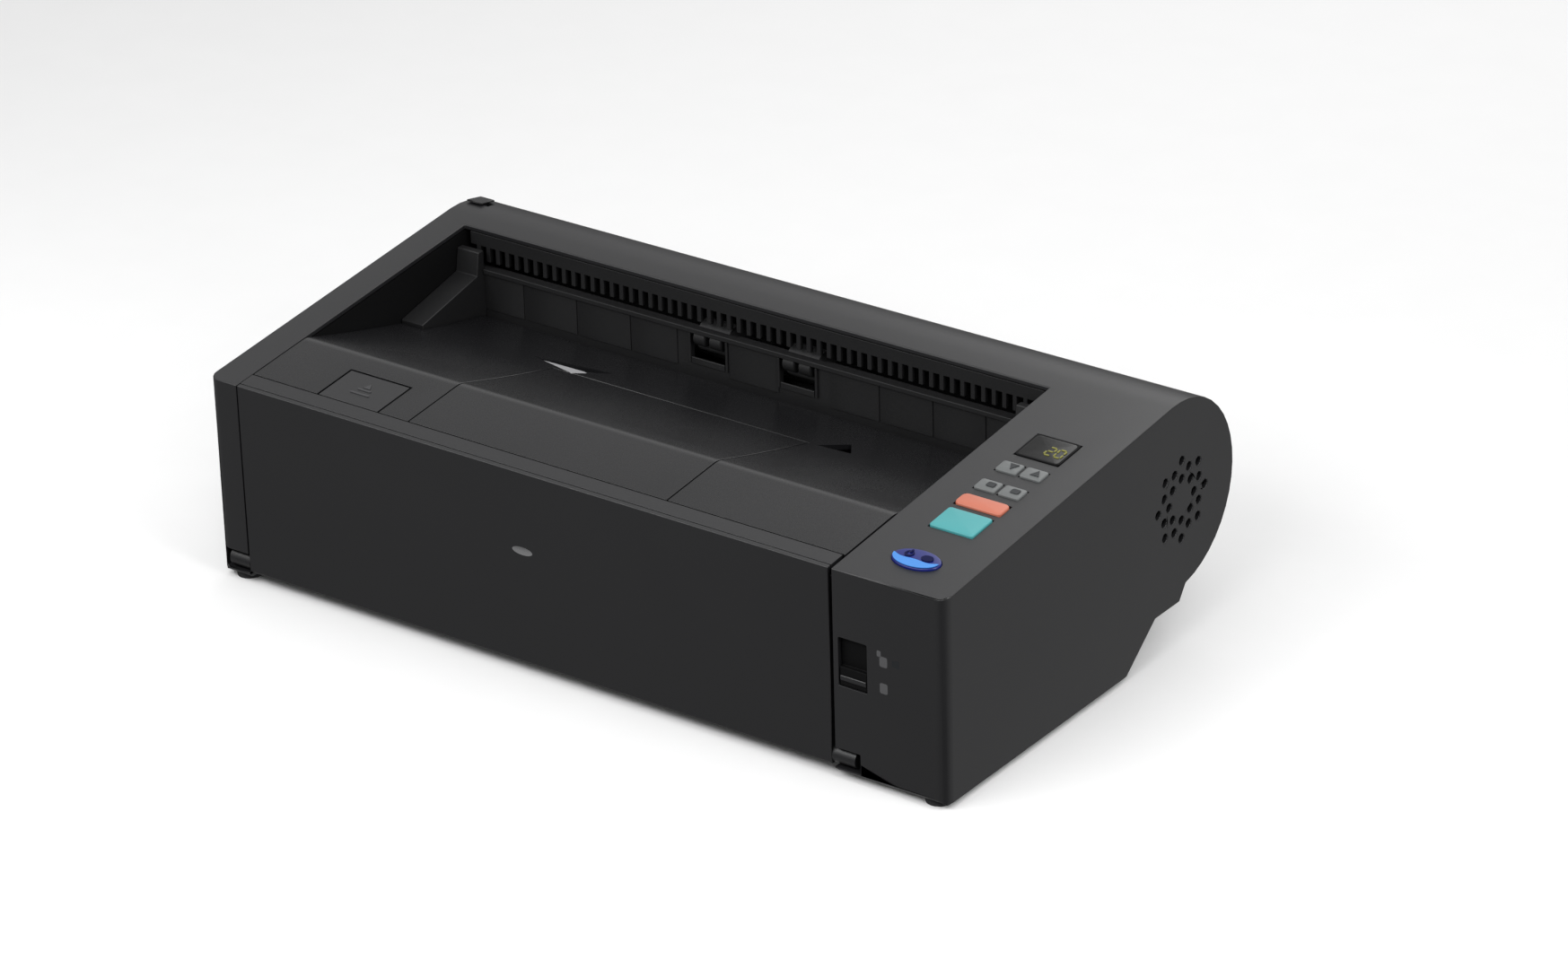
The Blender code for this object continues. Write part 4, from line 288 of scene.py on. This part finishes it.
roundings = {"main_housing": ("housingShell", 0.6), "feed_tray_cover": ("frontTrayShell", 0.6),
             "eject_tray": ("ejectTrayShell", 0.3), "eject_flap": ("ejectFlapShell", 0.3),
             "open_button": ("releaseButton", 0.3), "rear_cover": ("rearDoorShell", 0.5),
             "exit_wall": ("exitWallShell", 0.3), "exit_comb": ("exitCombStrip", 0.2),
             "rear_cover_latch": ("rearDoorLatch", 0.5), "left_corner_guide": ("leftCornerGuide", 0.5),
             "right_corner_guide": ("rightCornerGuide", 0.5), "feed_tray_plate": ("trayInnerPlate", 0.3),
             "feed_extension": ("trayExtensionPlate", 0.3), "left_paper_guide": ("leftSheetGuide", 0.3),
             "right_paper_guide": ("rightSheetGuide", 0.3), "base_chassis": ("baseChassisPan", 0.5),
             "lower_path_guide": ("lowerPathPlate", 0.2), "turn_guide": ("turnPathPlate", 0.2),
             "fan_frame": ("fanFrameMoulding", 0.3), "drive_motor": ("driveMotorCan", 0.4)}
shells = {}
for node, (name, width) in roundings.items():
    shells[node] = finishedCopy(node, name, width * mm, flat=node != "main_housing")
    past = grown(shells[node], node)
    if past > edgeWork["past"]:
        print(name, "passes its box by %.2f mm" % (past / mm))
for node, part in cad.items():
    if not part.hide_render:
        part.data.materials[0] = finishes[slotOf[node]]
print("shells finished:", len(roundings))


# the side frames are the dark walls seen inside the well; their black is darker than the other mouldings,
# painted shade for the shade that falls in the well

paintedShadeBlack = moulded("well black, painted shade", (0.0022, 0.0022, 0.0024), (0.0034, 0.0034, 0.0036), 0.6, 1800, 0.00008,
                    specular=0.12)
for node in ("left_side_frame", "right_side_frame"):
    cad[node].data.materials[0] = paintedShadeBlack


# new pieces: rings of points skinned into closed meshes


def skin(rings):
    # neighbouring rings joined by quads; the first and last ring are each closed by one face
    count, around = rings.shape[:2]
    i = np.arange(count - 1)[:, None] * around
    j = np.arange(around)[None, :]
    k = (j + 1) % around
    quads = np.stack([i + j, i + k, i + around + k, i + around + j], -1).reshape(-1, 4)
    last = (count - 1) * around
    ends = [list(range(around))[::-1], list(range(last, last + around))]
    return rings.reshape(-1, 3), quads.tolist() + ends


def raised(outline, height):
    # a flat outline as one ring of points at a height
    return np.concatenate([outline, np.full((len(outline), 1), height)], -1)


def together(shapes):
    # several closed shapes as one, their faces numbered on from each other
    points, faces, start = [], [], 0
    for more, those in shapes:
        points.append(more)
        faces += [[i + start for i in face] for face in those]
        start += len(more)
    return np.concatenate(points), faces


creaseTurn = 0.7


def newPiece(name, shape, finish, body, smooth=True):
    # a closed shape made an object, with its finish and body
    points, faces = shape
    mesh = bpy.data.meshes.new(name)
    mesh.from_pydata(points.tolist(), [], faces)
    work = bmesh.new()
    work.from_mesh(mesh)
    bmesh.ops.recalc_face_normals(work, faces=work.faces)
    for face in work.faces:
        face.smooth = smooth and len(face.verts) <= 4
    for edge in work.edges:
        edge.smooth = edge.calc_face_angle(0.0) < creaseTurn
    work.to_mesh(mesh)
    work.free()
    made = bpy.data.objects.new(name, mesh)
    scene.collection.objects.link(made)
    return setFinish(made, finish, body)


def roundedOutline(width, depth, corner, steps=6):
    # four quarter circles about the corners of a rectangle smaller by the radius, anticlockwise
    turn = np.linspace(0, np.pi / 2, steps)
    arcs = []
    for k, (sx, sy) in enumerate(((1, 1), (-1, 1), (-1, -1), (1, -1))):
        angle = turn + k * np.pi / 2
        arcs.append(np.stack([sx * (width / 2 - corner) + corner * np.cos(angle),
                              sy * (depth / 2 - corner) + corner * np.sin(angle)], -1))
    return np.concatenate(arcs)


def ovalOutline(width, depth, steps=48):
    turn = np.linspace(0, 2 * np.pi, steps, endpoint=False)
    return np.stack([width / 2 * np.cos(turn), depth / 2 * np.sin(turn)], -1)


crownShares = (0.85, 0.65, 0.4, 0.15, 0.01)
filletSteps = 5


def cushion(outline, bottom, top, fillet, crown):
    # upright skirt, a quarter-round fillet, then rings drawn in to the middle under a parabolic crown
    half = np.abs(outline).max(0)
    levels = [(1.0, 1.0, bottom)]
    for turn in np.linspace(0, np.pi / 2, filletSteps):
        pull = fillet * (1 - np.cos(turn))
        levels.append((1 - pull / half[0], 1 - pull / half[1], top - fillet + fillet * np.sin(turn)))
    wide, deep, _ = levels[-1]
    for share in crownShares:
        levels.append((wide * share, deep * share, top + crown * (1 - share ** 2)))
    return skin(np.array([raised(outline * np.array([a, b]), height) for a, b, height in levels]))


def bar(x0, x1, y0, y1, z0, z1, edge=0.0002):
    # a block whose ends are drawn in a little, so that its edges catch the light
    middle = np.array([(x0 + x1) / 2, (y0 + y1) / 2])
    corner = min(edge * 2, (x1 - x0) / 3, (y1 - y0) / 3)
    outline = roundedOutline(x1 - x0, y1 - y0, corner, 3)
    half = np.abs(outline).max(0)
    levels = ((edge, z0), (0.0, z0 + edge), (0.0, z1 - edge), (edge, z1))
    return skin(np.array([raised(outline * (1 - pull / half) + middle, z) for pull, z in levels]))


def turnedAlongX(profile, y, z, steps=24):
    # (x, radius) pairs swung round a line along X
    turn = np.linspace(0, 2 * np.pi, steps, endpoint=False)
    x = np.array([p[0] for p in profile])[:, None] + 0 * turn
    radius = np.array([p[1] for p in profile])[:, None]
    return skin(np.stack([x, y + radius * np.cos(turn), z + radius * np.sin(turn)], -1))


def frameRing(outer, inner, bottom, top, crown):
    # a closed band: up the outer outline, across under a low crown, and down the inner one
    loops = ((outer, bottom), (outer, top), ((outer + inner) / 2, top + crown), (inner, top), (inner, bottom))
    rings = np.array([raised(outline, height) for outline, height in loops])
    count, around = rings.shape[:2]
    i = np.arange(count)[:, None] * around
    j = np.arange(around)[None, :]
    k = (j + 1) % around
    up = np.roll(i, -1, 0)
    quads = np.stack([i + j, i + k, up + k, up + j], -1).reshape(-1, 4)
    return rings.reshape(-1, 3), quads.tolist()


def crescent(width, depth, thick, start, end, steps=36):
    # a band between two ovals, its thickness following the sine to the power 0.6, nothing at its ends
    turn = np.linspace(start, end, steps) * np.pi
    band = thick * np.sin(np.linspace(0, np.pi, steps)) ** 0.6
    outer = np.stack([width / 2 * np.cos(turn), depth / 2 * np.sin(turn)], -1)
    inner = np.stack([(width / 2 - band) * np.cos(turn), (depth / 2 - band) * np.sin(turn)], -1)
    return np.concatenate([outer, inner[1:-1][::-1]])


def arrowOutline(size, way):
    # a triangle of this width, its point up the local Y or, with way -1, down it
    return np.array([(-0.5, -0.45), (0.5, -0.45), (0.0, 0.5)]) * size * np.array([1, way])


markThick = 0.0003


def flatMark(outline):
    # a thin printed shape: the outline at two heights
    return skin(np.array([raised(outline, 0.0), raised(outline, markThick)]))


def shifted(shape, dx, dy):
    return shape[0] + np.array([dx, dy, 0.0]), shape[1]


deck = {"front": -0.119, "height": 0.1055, "slope": math.radians(6.2)}


def onDeck(shape, x, along, lift=0.0):
    # local X stays, local Y runs up the sloping top, local Z stands square to it
    points, faces = shape
    cosine, sine = math.cos(deck["slope"]), math.sin(deck["slope"])
    y = along + points[:, 1]
    z = lift + points[:, 2]
    placed = np.stack([x + points[:, 0], deck["front"] + y * cosine - z * sine,
                       deck["height"] + y * sine + z * cosine], -1)
    return placed, faces


def onFront(shape, x, z, out=0.0):
    # local X stays, local Y runs up the front face, local Z comes out of it
    points, faces = shape
    placed = np.stack([x + points[:, 0], deck["front"] - out - points[:, 2], z + points[:, 1]], -1)
    return placed, faces


# two finger pits in the eject tray behind the flap, the left one with a pale piece in it that paints in the
# bright highlight on its curved wall, in millimetres

pits = {"left": ((-118, 11), (-88, 2), (-76, 19)), "right": ((57, 2), (66, 17), (75, 4)),
        "sink": 5.0, "lift": 12.0, "runOut": 1.0,
        "highlightCorners": ((-117.2, 10.9), (-103, 5.9), (-88.4, 2.6), (-83, 9.5), (-88, 12.0), (-104, 11.6)),
        "highlightDepth": 3.6, "highlightBelow": 0.9}
rayStart = 0.3


def trayHeight(x, y):
    # height of the tray's upper face over a place, by a ray cast down on its shell
    start = Vector((x * mm, y * mm, rayStart))
    hit, point, _, _ = shells["eject_tray"].ray_cast(start, Vector((0, 0, -1)))
    return point.z if hit else 0.0


def sunkPrism(corners, under, over):
    # the corners dropped below and raised above the tray's face at each corner
    heights = np.array([trayHeight(x, y) for x, y in corners])
    flat = np.array(corners) * mm
    return skin(np.array([np.column_stack([flat, heights + shift * mm]) for shift in (-under, over)]))


def cutPit(side):
    points, faces = sunkPrism(pits[side], pits["sink"], pits["lift"])
    if side == "left":
        # the pit is deep along its front edge and runs out at its rear corner
        points[2, 2] += (pits["sink"] - pits["runOut"]) * mm
    cutter = newPiece("pitCutter", (points, faces), paintedShadeBlack, "lifting_unit", False)
    shell = shells["eject_tray"]
    cut = shell.modifiers.new(side + " pit", "BOOLEAN")
    cut.operation = "DIFFERENCE"
    cut.solver = "EXACT"
    cut.object = cutter
    bpy.context.view_layer.update()
    whole = shell.evaluated_get(bpy.context.evaluated_depsgraph_get())
    baked = bpy.data.meshes.new_from_object(whole)
    shell.modifiers.clear()
    shell.data = baked
    bpy.data.objects.remove(cutter)


paintedHighlightShape = sunkPrism(pits["highlightCorners"], pits["highlightDepth"], -pits["highlightBelow"])
trayGrey = moulded("tray moulding", (0.0062, 0.0062, 0.0069), (0.0085, 0.0085, 0.0093), 0.27, 2400, 0.00003,
                   specular=0.42)
shells["eject_tray"].data.materials[0] = trayGrey
shells["eject_flap"].data.materials[0] = trayGrey
cutPit("left")
cutPit("right")
print("finger pits cut")
# the pale piece in the left pit is a painted highlight: a light grey crescent where the pit's curved wall
# catches a bright reflection
paintedHighlightPlastic = moulded("pale painted highlight", (0.30, 0.30, 0.31), (0.36, 0.36, 0.37), 0.4, 1500, 0.00003)
newPiece("pitPaintedHighlight", paintedHighlightShape, paintedHighlightPlastic, "lifting_unit", False)


# keys: each rides on its own body and stands in for its plain CAD key

darkPrint = moulded("dark print", (0.006, 0.008, 0.010), (0.012, 0.014, 0.016), 0.4, 1500, 0.00002)
palePrint = moulded("pale print", (0.07, 0.07, 0.073), (0.10, 0.10, 0.103), 0.5, 1500, 0.00002)
nightPrint = moulded("night print", (0.001, 0.002, 0.03), (0.002, 0.004, 0.045), 0.5, 1500, 0.00002,
                     specular=0.1)
buttonPrint = moulded("button print", (0.03, 0.03, 0.032), (0.04, 0.04, 0.042), 0.5, 1500, 0.00002)
glowWork = {"rough": 0.35, "grain": 1500, "depth": 0.00002, "dim": 0.7, "cloud": 160.0}


def glowing(name, colour, strength, dark, light):
    # a lit plastic: the moulded finish with an even glow that a slow noise dims a little
    made = moulded(name, dark, light, glowWork["rough"], glowWork["grain"], glowWork["depth"])
    tree = made.node_tree
    shader = tree.nodes["Principled BSDF"]
    place = Wire(tree, tree.nodes.new("ShaderNodeTexCoord").outputs["Object"])
    dim = tuple(c * glowWork["dim"] for c in colour)
    shade = mixColour(place, noise(place, glowWork["cloud"]), dim, colour)
    plug(tree, shader.inputs["Emission Color"], shade)
    shader.inputs["Emission Strength"].default_value = strength
    return made


powerGlow = glowing("power light", (0.07, 0.30, 0.74), 0.46, (0.02, 0.10, 0.3), (0.03, 0.14, 0.4))
digitGlow = glowing("digit light", (0.42, 0.40, 0.05), 0.5, (0.02, 0.02, 0.005), (0.03, 0.03, 0.008))

keys = {"skirt": -0.0040, "proud": 0.0010, "fillet": 0.0007, "crown": 0.0004, "markAt": 0.00145}
plainKeys = {"start": ("key_teal", (0.1817, 0.0580), (0.0236, 0.0170, 0.0016)),
             "stop": ("key_orange", (0.1817, 0.0750), (0.0250, 0.0094, 0.0026)),
             "clear": ("key_grey", (0.17525, 0.0896), (0.0114, 0.0084, 0.0012)),
             "bypass": ("key_grey", (0.18825, 0.0896), (0.0114, 0.0084, 0.0012)),
             "job_down": ("key_grey", (0.17525, 0.1070), (0.0114, 0.0084, 0.0012)),
             "job_up": ("key_grey", (0.18825, 0.1070), (0.0114, 0.0084, 0.0012))}


def keyCap(outline, place, slot, body):
    node = body + "_key"
    shape = cushion(outline, keys["skirt"], keys["proud"], keys["fillet"], keys["crown"])
    made = newPiece(body + "KeyCap", onDeck(shape, *place), finishes[slot], body)
    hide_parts(node)


for body, (slot, place, size) in plainKeys.items():
    keyCap(roundedOutline(*size), place, slot, body)

power = {"place": (0.1817, 0.0230), "size": (0.0250, 0.0150), "lightInset": (0.0012, 0.0010),
         "lightBand": 0.0058, "lightSink": 0.0002, "ring": (0.0046, 0.0046, 0.0013, 0.62, 2.38),
         "ringAt": -0.0046, "stroke": (0.0010, 0.0026, 0.0003, 3), "strokeUp": 0.0021,
         "pad": (0.0062, 0.0046, 24), "padAt": 0.0050, "marksUp": 0.0014}
x, along = power["place"]
width, depth = power["size"]
keyCap(ovalOutline(width, depth), power["place"], "key_blue", "power")
print("key caps placed")

smallMarks = {"pad": (0.0044, 0.0036, 0.0008, 4), "arrow": 0.0048, "aside": 0.0016, "sink": 0.0001}
smallOutlines = {"clear": roundedOutline(*smallMarks["pad"]), "bypass": roundedOutline(*smallMarks["pad"]),
                 "job_down": arrowOutline(smallMarks["arrow"], -1)[::-1],
                 "job_up": arrowOutline(smallMarks["arrow"], 1)}
for body, outline in smallOutlines.items():
    keyX, keyAlong = plainKeys[body][1]
    mark = onDeck(flatMark(outline), keyX + smallMarks["aside"], keyAlong,
                  keys["markAt"] - smallMarks["sink"])
    newPiece(body + "KeyMark", mark, darkPrint, body, False)

insetX, insetY = power["lightInset"]
front = crescent(width - insetX, depth - insetY, power["lightBand"], 1.0, 2.0)
newPiece("powerKeyLight", onDeck(flatMark(front), x, along, keys["markAt"] - power["lightSink"]),
         powerGlow, "power", False)
powerMarks = together([shifted(flatMark(crescent(*power["ring"])), power["ringAt"], 0.0),
                       shifted(flatMark(roundedOutline(*power["stroke"])), power["ringAt"],
                               power["strokeUp"]),
                       shifted(flatMark(ovalOutline(*power["pad"])), power["padAt"], 0.0)])
newPiece("powerKeyMark", onDeck(powerMarks, x, along + power["marksUp"], keys["markAt"]),
         nightPrint, "power", False)


# display: glass, its rim and two digits of seven segments

display = {"place": (0.18175, 0.1283), "size": (0.0240, 0.0200), "rim": 0.0011, "corner": 0.0020,
           "bottom": -0.0008, "top": 0.0004, "glass": 0.94, "fillet": 0.0003, "crown": 0.00015,
           "rimCrown": 0.0002, "reading": "20", "readingAt": (0.0048, -0.0012), "readingUp": 0.0005,
           "tall": 0.0066, "wide": 0.0036, "stroke": 0.0009, "slim": 0.9, "soft": 0.00035, "gap": 0.0052}
segments = {"2": "abged", "0": "abcdef"}
x, along = display["place"]
outer = roundedOutline(*display["size"], display["corner"])
inner = outer * (1 - 2 * display["rim"] / np.array(display["size"]))
pane = cushion(outer * display["glass"], display["bottom"], display["top"], display["fillet"],
               display["crown"])
glass = newPiece("displayGlass", onDeck(pane, x, along), finishes["display_glass"], "body")
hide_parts("display_window")
rim = frameRing(outer, inner, display["bottom"], display["top"], display["rimCrown"])
newPiece("displayRim", onDeck(rim, x, along), paintedShadeBlack, "body")


def digitShapes(figure, spec):
    # each lit segment of one figure about the figure's middle
    w, h, t = spec["wide"], spec["tall"], spec["stroke"]
    level = (w - t, t * spec["slim"])
    post = (t * spec["slim"], h / 2 - t)
    where = {"a": (0, h / 2, level), "g": (0, 0, level), "d": (0, -h / 2, level),
             "b": (w / 2, h / 4, post), "c": (w / 2, -h / 4, post),
             "e": (-w / 2, -h / 4, post), "f": (-w / 2, h / 4, post)}
    made = []
    for dx, dy, size in [where[key] for key in segments[figure]]:
        made.append(shifted(flatMark(roundedOutline(*size, spec["soft"], 3)), dx, dy))
    return made


dx, dy = display["readingAt"]
lit = []
for number, figure in enumerate(display["reading"]):
    across = dx + (number - 0.5) * display["gap"]
    lit += [shifted(shape, across, dy) for shape in digitShapes(figure, display)]
newPiece("displayDigits", onDeck(together(lit), x, along, display["readingUp"]), digitGlow, "body",
         False)
print("display lit")


# front: the selector's slide and grip, its printed signs and a plain oval badge

selector = {"middle": 0.16225, "low": 0.0478, "edge": 0.25, "half": 0.0070, "back": -0.0008, "sink": -0.0011,
            "lip": (0.0012, 0.0011, 0.0042), "rib": (0.0005, 0.0005, 0.0078)}
lever = finishedCopy("feed_selector", "selectorSlide", selector["edge"] * mm)
# the slide takes the well's darker black, with its painted shade
setFinish(lever, paintedShadeBlack, "selector")
grip = []
for tall, proud, up in (selector["lip"], selector["rib"]):
    shape = bar(-selector["half"], selector["half"], -tall, tall, selector["back"], proud)
    grip.append(onFront(shape, selector["middle"], selector["low"] + up, selector["sink"]))
newPiece("selectorGrip", together(grip), finishes["housing"], "selector")

signs = {"sheet": (0.0042, 0.0052, 0.0009, 4), "fold": (0.0022, 0.0030, 0.0005, 4),
         "foldAt": (-0.0024, 0.0036), "single": (0.1790, 0.0532), "stacked": (0.1790, 0.0665),
         "arrow": (0.1858, 0.0672), "out": -0.00027,
         "arrowOutline": ((-0.0022, -0.0014), (0.0018, -0.0022), (0.0018, 0.0022), (-0.0022, 0.0014))}
sheet = flatMark(roundedOutline(*signs["sheet"]))
fold = shifted(flatMark(roundedOutline(*signs["fold"])), *signs["foldAt"])
feedArrow = flatMark(np.array(signs["arrowOutline"]))
for name, shape, place, ink in (("singleSheetSign", sheet, signs["single"], palePrint),
                                ("stackedSheetSign", together([sheet, fold]), signs["stacked"], palePrint),
                                ("feedArrowSign", feedArrow, signs["arrow"], darkPrint)):
    newPiece(name, onFront(shape, *place, signs["out"]), ink, "body", False)

badge = {"place": (-0.024, 0.0650), "size": (0.0150, 0.0056), "levels": (-0.0006, -0.0001, 0.0003, 0.0003)}
newPiece("frontBadge", onFront(cushion(ovalOutline(*badge["size"]), *badge["levels"]), *badge["place"]),
         finishes["steel"], "feed_tray")


# release button: two bars and an arrow printed on its sloping top

buttonSign = {"bars": ((0.0115, -0.0035), (0.0080, 0.0)), "bar": (0.0012, 0.0005, 3), "arrow": 0.0042,
              "arrowUp": 0.0035, "clear": 0.00002}
low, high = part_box("open_button")


def onButton(shape):
    # laid on the button's top, which slopes with the deck up to the top of its box
    points, faces = shape
    y = (low[1] + high[1]) / 2 + points[:, 1]
    fall = (high[1] - y) * math.tan(deck["slope"])
    return np.stack([(low[0] + high[0]) / 2 + points[:, 0], y,
                     high[2] + buttonSign["clear"] + points[:, 2] - fall], -1), faces


signShapes = [shifted(flatMark(roundedOutline(wide, *buttonSign["bar"])), 0, up)
              for wide, up in buttonSign["bars"]]
signShapes.append(shifted(flatMark(arrowOutline(buttonSign["arrow"], 1)), 0, buttonSign["arrowUp"]))
newPiece("releaseButtonSign", onButton(together(signShapes)), buttonPrint, "release_button", False)
print("front signs placed")


# exit: plates on the wall, idlers and a frame in its two windows

exitWall = {"front": 0.0519, "back": 0.0528, "low": 0.0835, "high": 0.1024,
            "plates": ((-0.1895, -0.1565), (-0.1555, -0.1235), (-0.1225, -0.0905), (-0.0895, -0.0620),
                       (-0.0310, -0.0015), (0.0290, 0.0572), (0.0582, 0.0880), (0.0890, 0.1180),
                       (0.1190, 0.1365)),
            "windows": ((-0.0535, -0.0325), (-0.0005, 0.0205))}
windowFrame = {"front": 0.0512, "sill": (0.0005, 0.0522, 0.0868, 0.0900), "jamb": (0.0012, 0.0002, 0.0526)}
idler = {"apart": 0.0048, "place": (0.0545, 0.1003),
         "profile": ((-0.0034, 0.0008), (-0.0034, 0.0036), (-0.0030, 0.0042),
                     (0.0030, 0.0042), (0.0034, 0.0036), (0.0034, 0.0008))}
idlerBlack = moulded("idler rubber", (0.007, 0.007, 0.0075), (0.011, 0.011, 0.0115), 0.6, 900, 0.0001,
                     40.0, 0.25)
plates = [bar(x0, x1, exitWall["front"], exitWall["back"], exitWall["low"], exitWall["high"])
          for x0, x1 in exitWall["plates"]]
newPiece("exitWallPlates", together(plates), finishes["inner_black"], "body")
idlers, frames = [], []
inset, sillBack, sillLow, sillHigh = windowFrame["sill"]
past, within, jambBack = windowFrame["jamb"]
face = windowFrame["front"]
for x0, x1 in exitWall["windows"]:
    for side in (-1, 1):
        middle = (x0 + x1) / 2 + side * idler["apart"]
        profile = [(middle + along, radius) for along, radius in idler["profile"]]
        idlers.append(turnedAlongX(profile, *idler["place"]))
    frames.append(bar(x0 + inset, x1 - inset, face, sillBack, sillLow, sillHigh))
    frames.append(bar(x0 - past, x0 + within, face, jambBack, sillLow, exitWall["high"]))
    frames.append(bar(x1 - within, x1 + past, face, jambBack, sillLow, exitWall["high"]))
newPiece("exitIdlers", together(idlers), idlerBlack, "body")
newPiece("exitWindowFrames", together(frames), finishes["inner_black"], "body")
print("exit dressed")


# floor, sky and lamps

studio = {"sky": ((0.0, 0.46), (0.3, 0.42), (0.46, 0.10), (0.54, 0.12), (0.59, 0.62), (0.65, 1.1),
                  (0.71, 1.0), (0.76, 0.58), (0.82, 0.85), (1.0, 0.85)),
          "sway": 0.35, "gap": (0.795, -0.607, 0.55, 0.25, 0.85),
          "lamps": (("front strip", (-0.12, -0.6, 0.62), (1.3, 0.3), 6.2),
                    ("side strip", (0.78, -0.2, 0.5), (0.3, 0.8), 3.9),
                    ("rear softbox", (-0.05, 1.0, 0.85), (0.9, 0.8), 3.4))}


def lightSky(spec):
    # grey by height, brighter towards +X, with a soft dark gap in one horizontal direction
    world = bpy.data.worlds.new("studio")
    scene.world = world
    world.use_nodes = True
    tree = world.node_tree
    background = tree.nodes["Background"]
    ray = Wire(tree, tree.nodes.new("ShaderNodeTexCoord").outputs["Generated"])
    side, front, height = [ray.node("ShaderNodeSeparateXYZ", {}, {"Vector": ray}, axis) for axis in range(3)]
    stops = [(place, (grey, grey, grey)) for place, grey in spec["sky"]]
    shade = ray.node("ShaderNodeValToRGB", {"stops": stops}, {0: height * 0.5 + 0.5})
    east, south, start, span, share = spec["gap"]
    gap = ray.node("ShaderNodeMapRange", {"interpolation_type": "SMOOTHSTEP"},
                   {"Value": side * east + front * south, "From Min": start, "From Max": start + span,
                    "To Min": 1.0, "To Max": 1.0 - share})
    plug(tree, background.inputs["Color"], shade)
    plug(tree, background.inputs["Strength"], (side * spec["sway"] + 1.0) * gap)


def hangLamp(name, place, size, power):
    # a rectangular lamp aimed at the origin
    data = bpy.data.lights.new(name, "AREA")
    data.shape = "RECTANGLE"
    data.size, data.size_y = size
    data.energy = power
    lamp = bpy.data.objects.new(name, data)
    lamp.location = place
    lamp.rotation_euler = (-Vector(place)).to_track_quat("-Z", "Y").to_euler()
    scene.collection.objects.link(lamp)


ground = {"reach": 6, "rough": 0.9, "specular": 0.1, "cloud": 30.0,
          "dark": (0.79, 0.79, 0.79), "light": (0.81, 0.81, 0.81)}


def layFloor(spec):
    # one wide face, left out of reflections and bounced light
    r = spec["reach"]
    mesh = bpy.data.meshes.new("floor")
    mesh.from_pydata([(-r, -r, 0), (r, -r, 0), (r, r, 0), (-r, r, 0)], [], [(0, 1, 2, 3)])
    made = bpy.data.objects.new("floor", mesh)
    scene.collection.objects.link(made)
    paper, shader, place = newMaterial("pale floor", {"Roughness": spec["rough"],
                                                      "Specular IOR Level": spec["specular"]})
    shade = mixColour(place, noise(place, spec["cloud"]), spec["dark"], spec["light"])
    plug(paper.node_tree, shader.inputs["Base Color"], shade)
    mesh.materials.append(paper)
    made.visible_diffuse = False
    made.visible_glossy = False


lightSky(studio)
for lampSpec in studio["lamps"]:
    hangLamp(*lampSpec)
layFloor(ground)
print("studio lit")
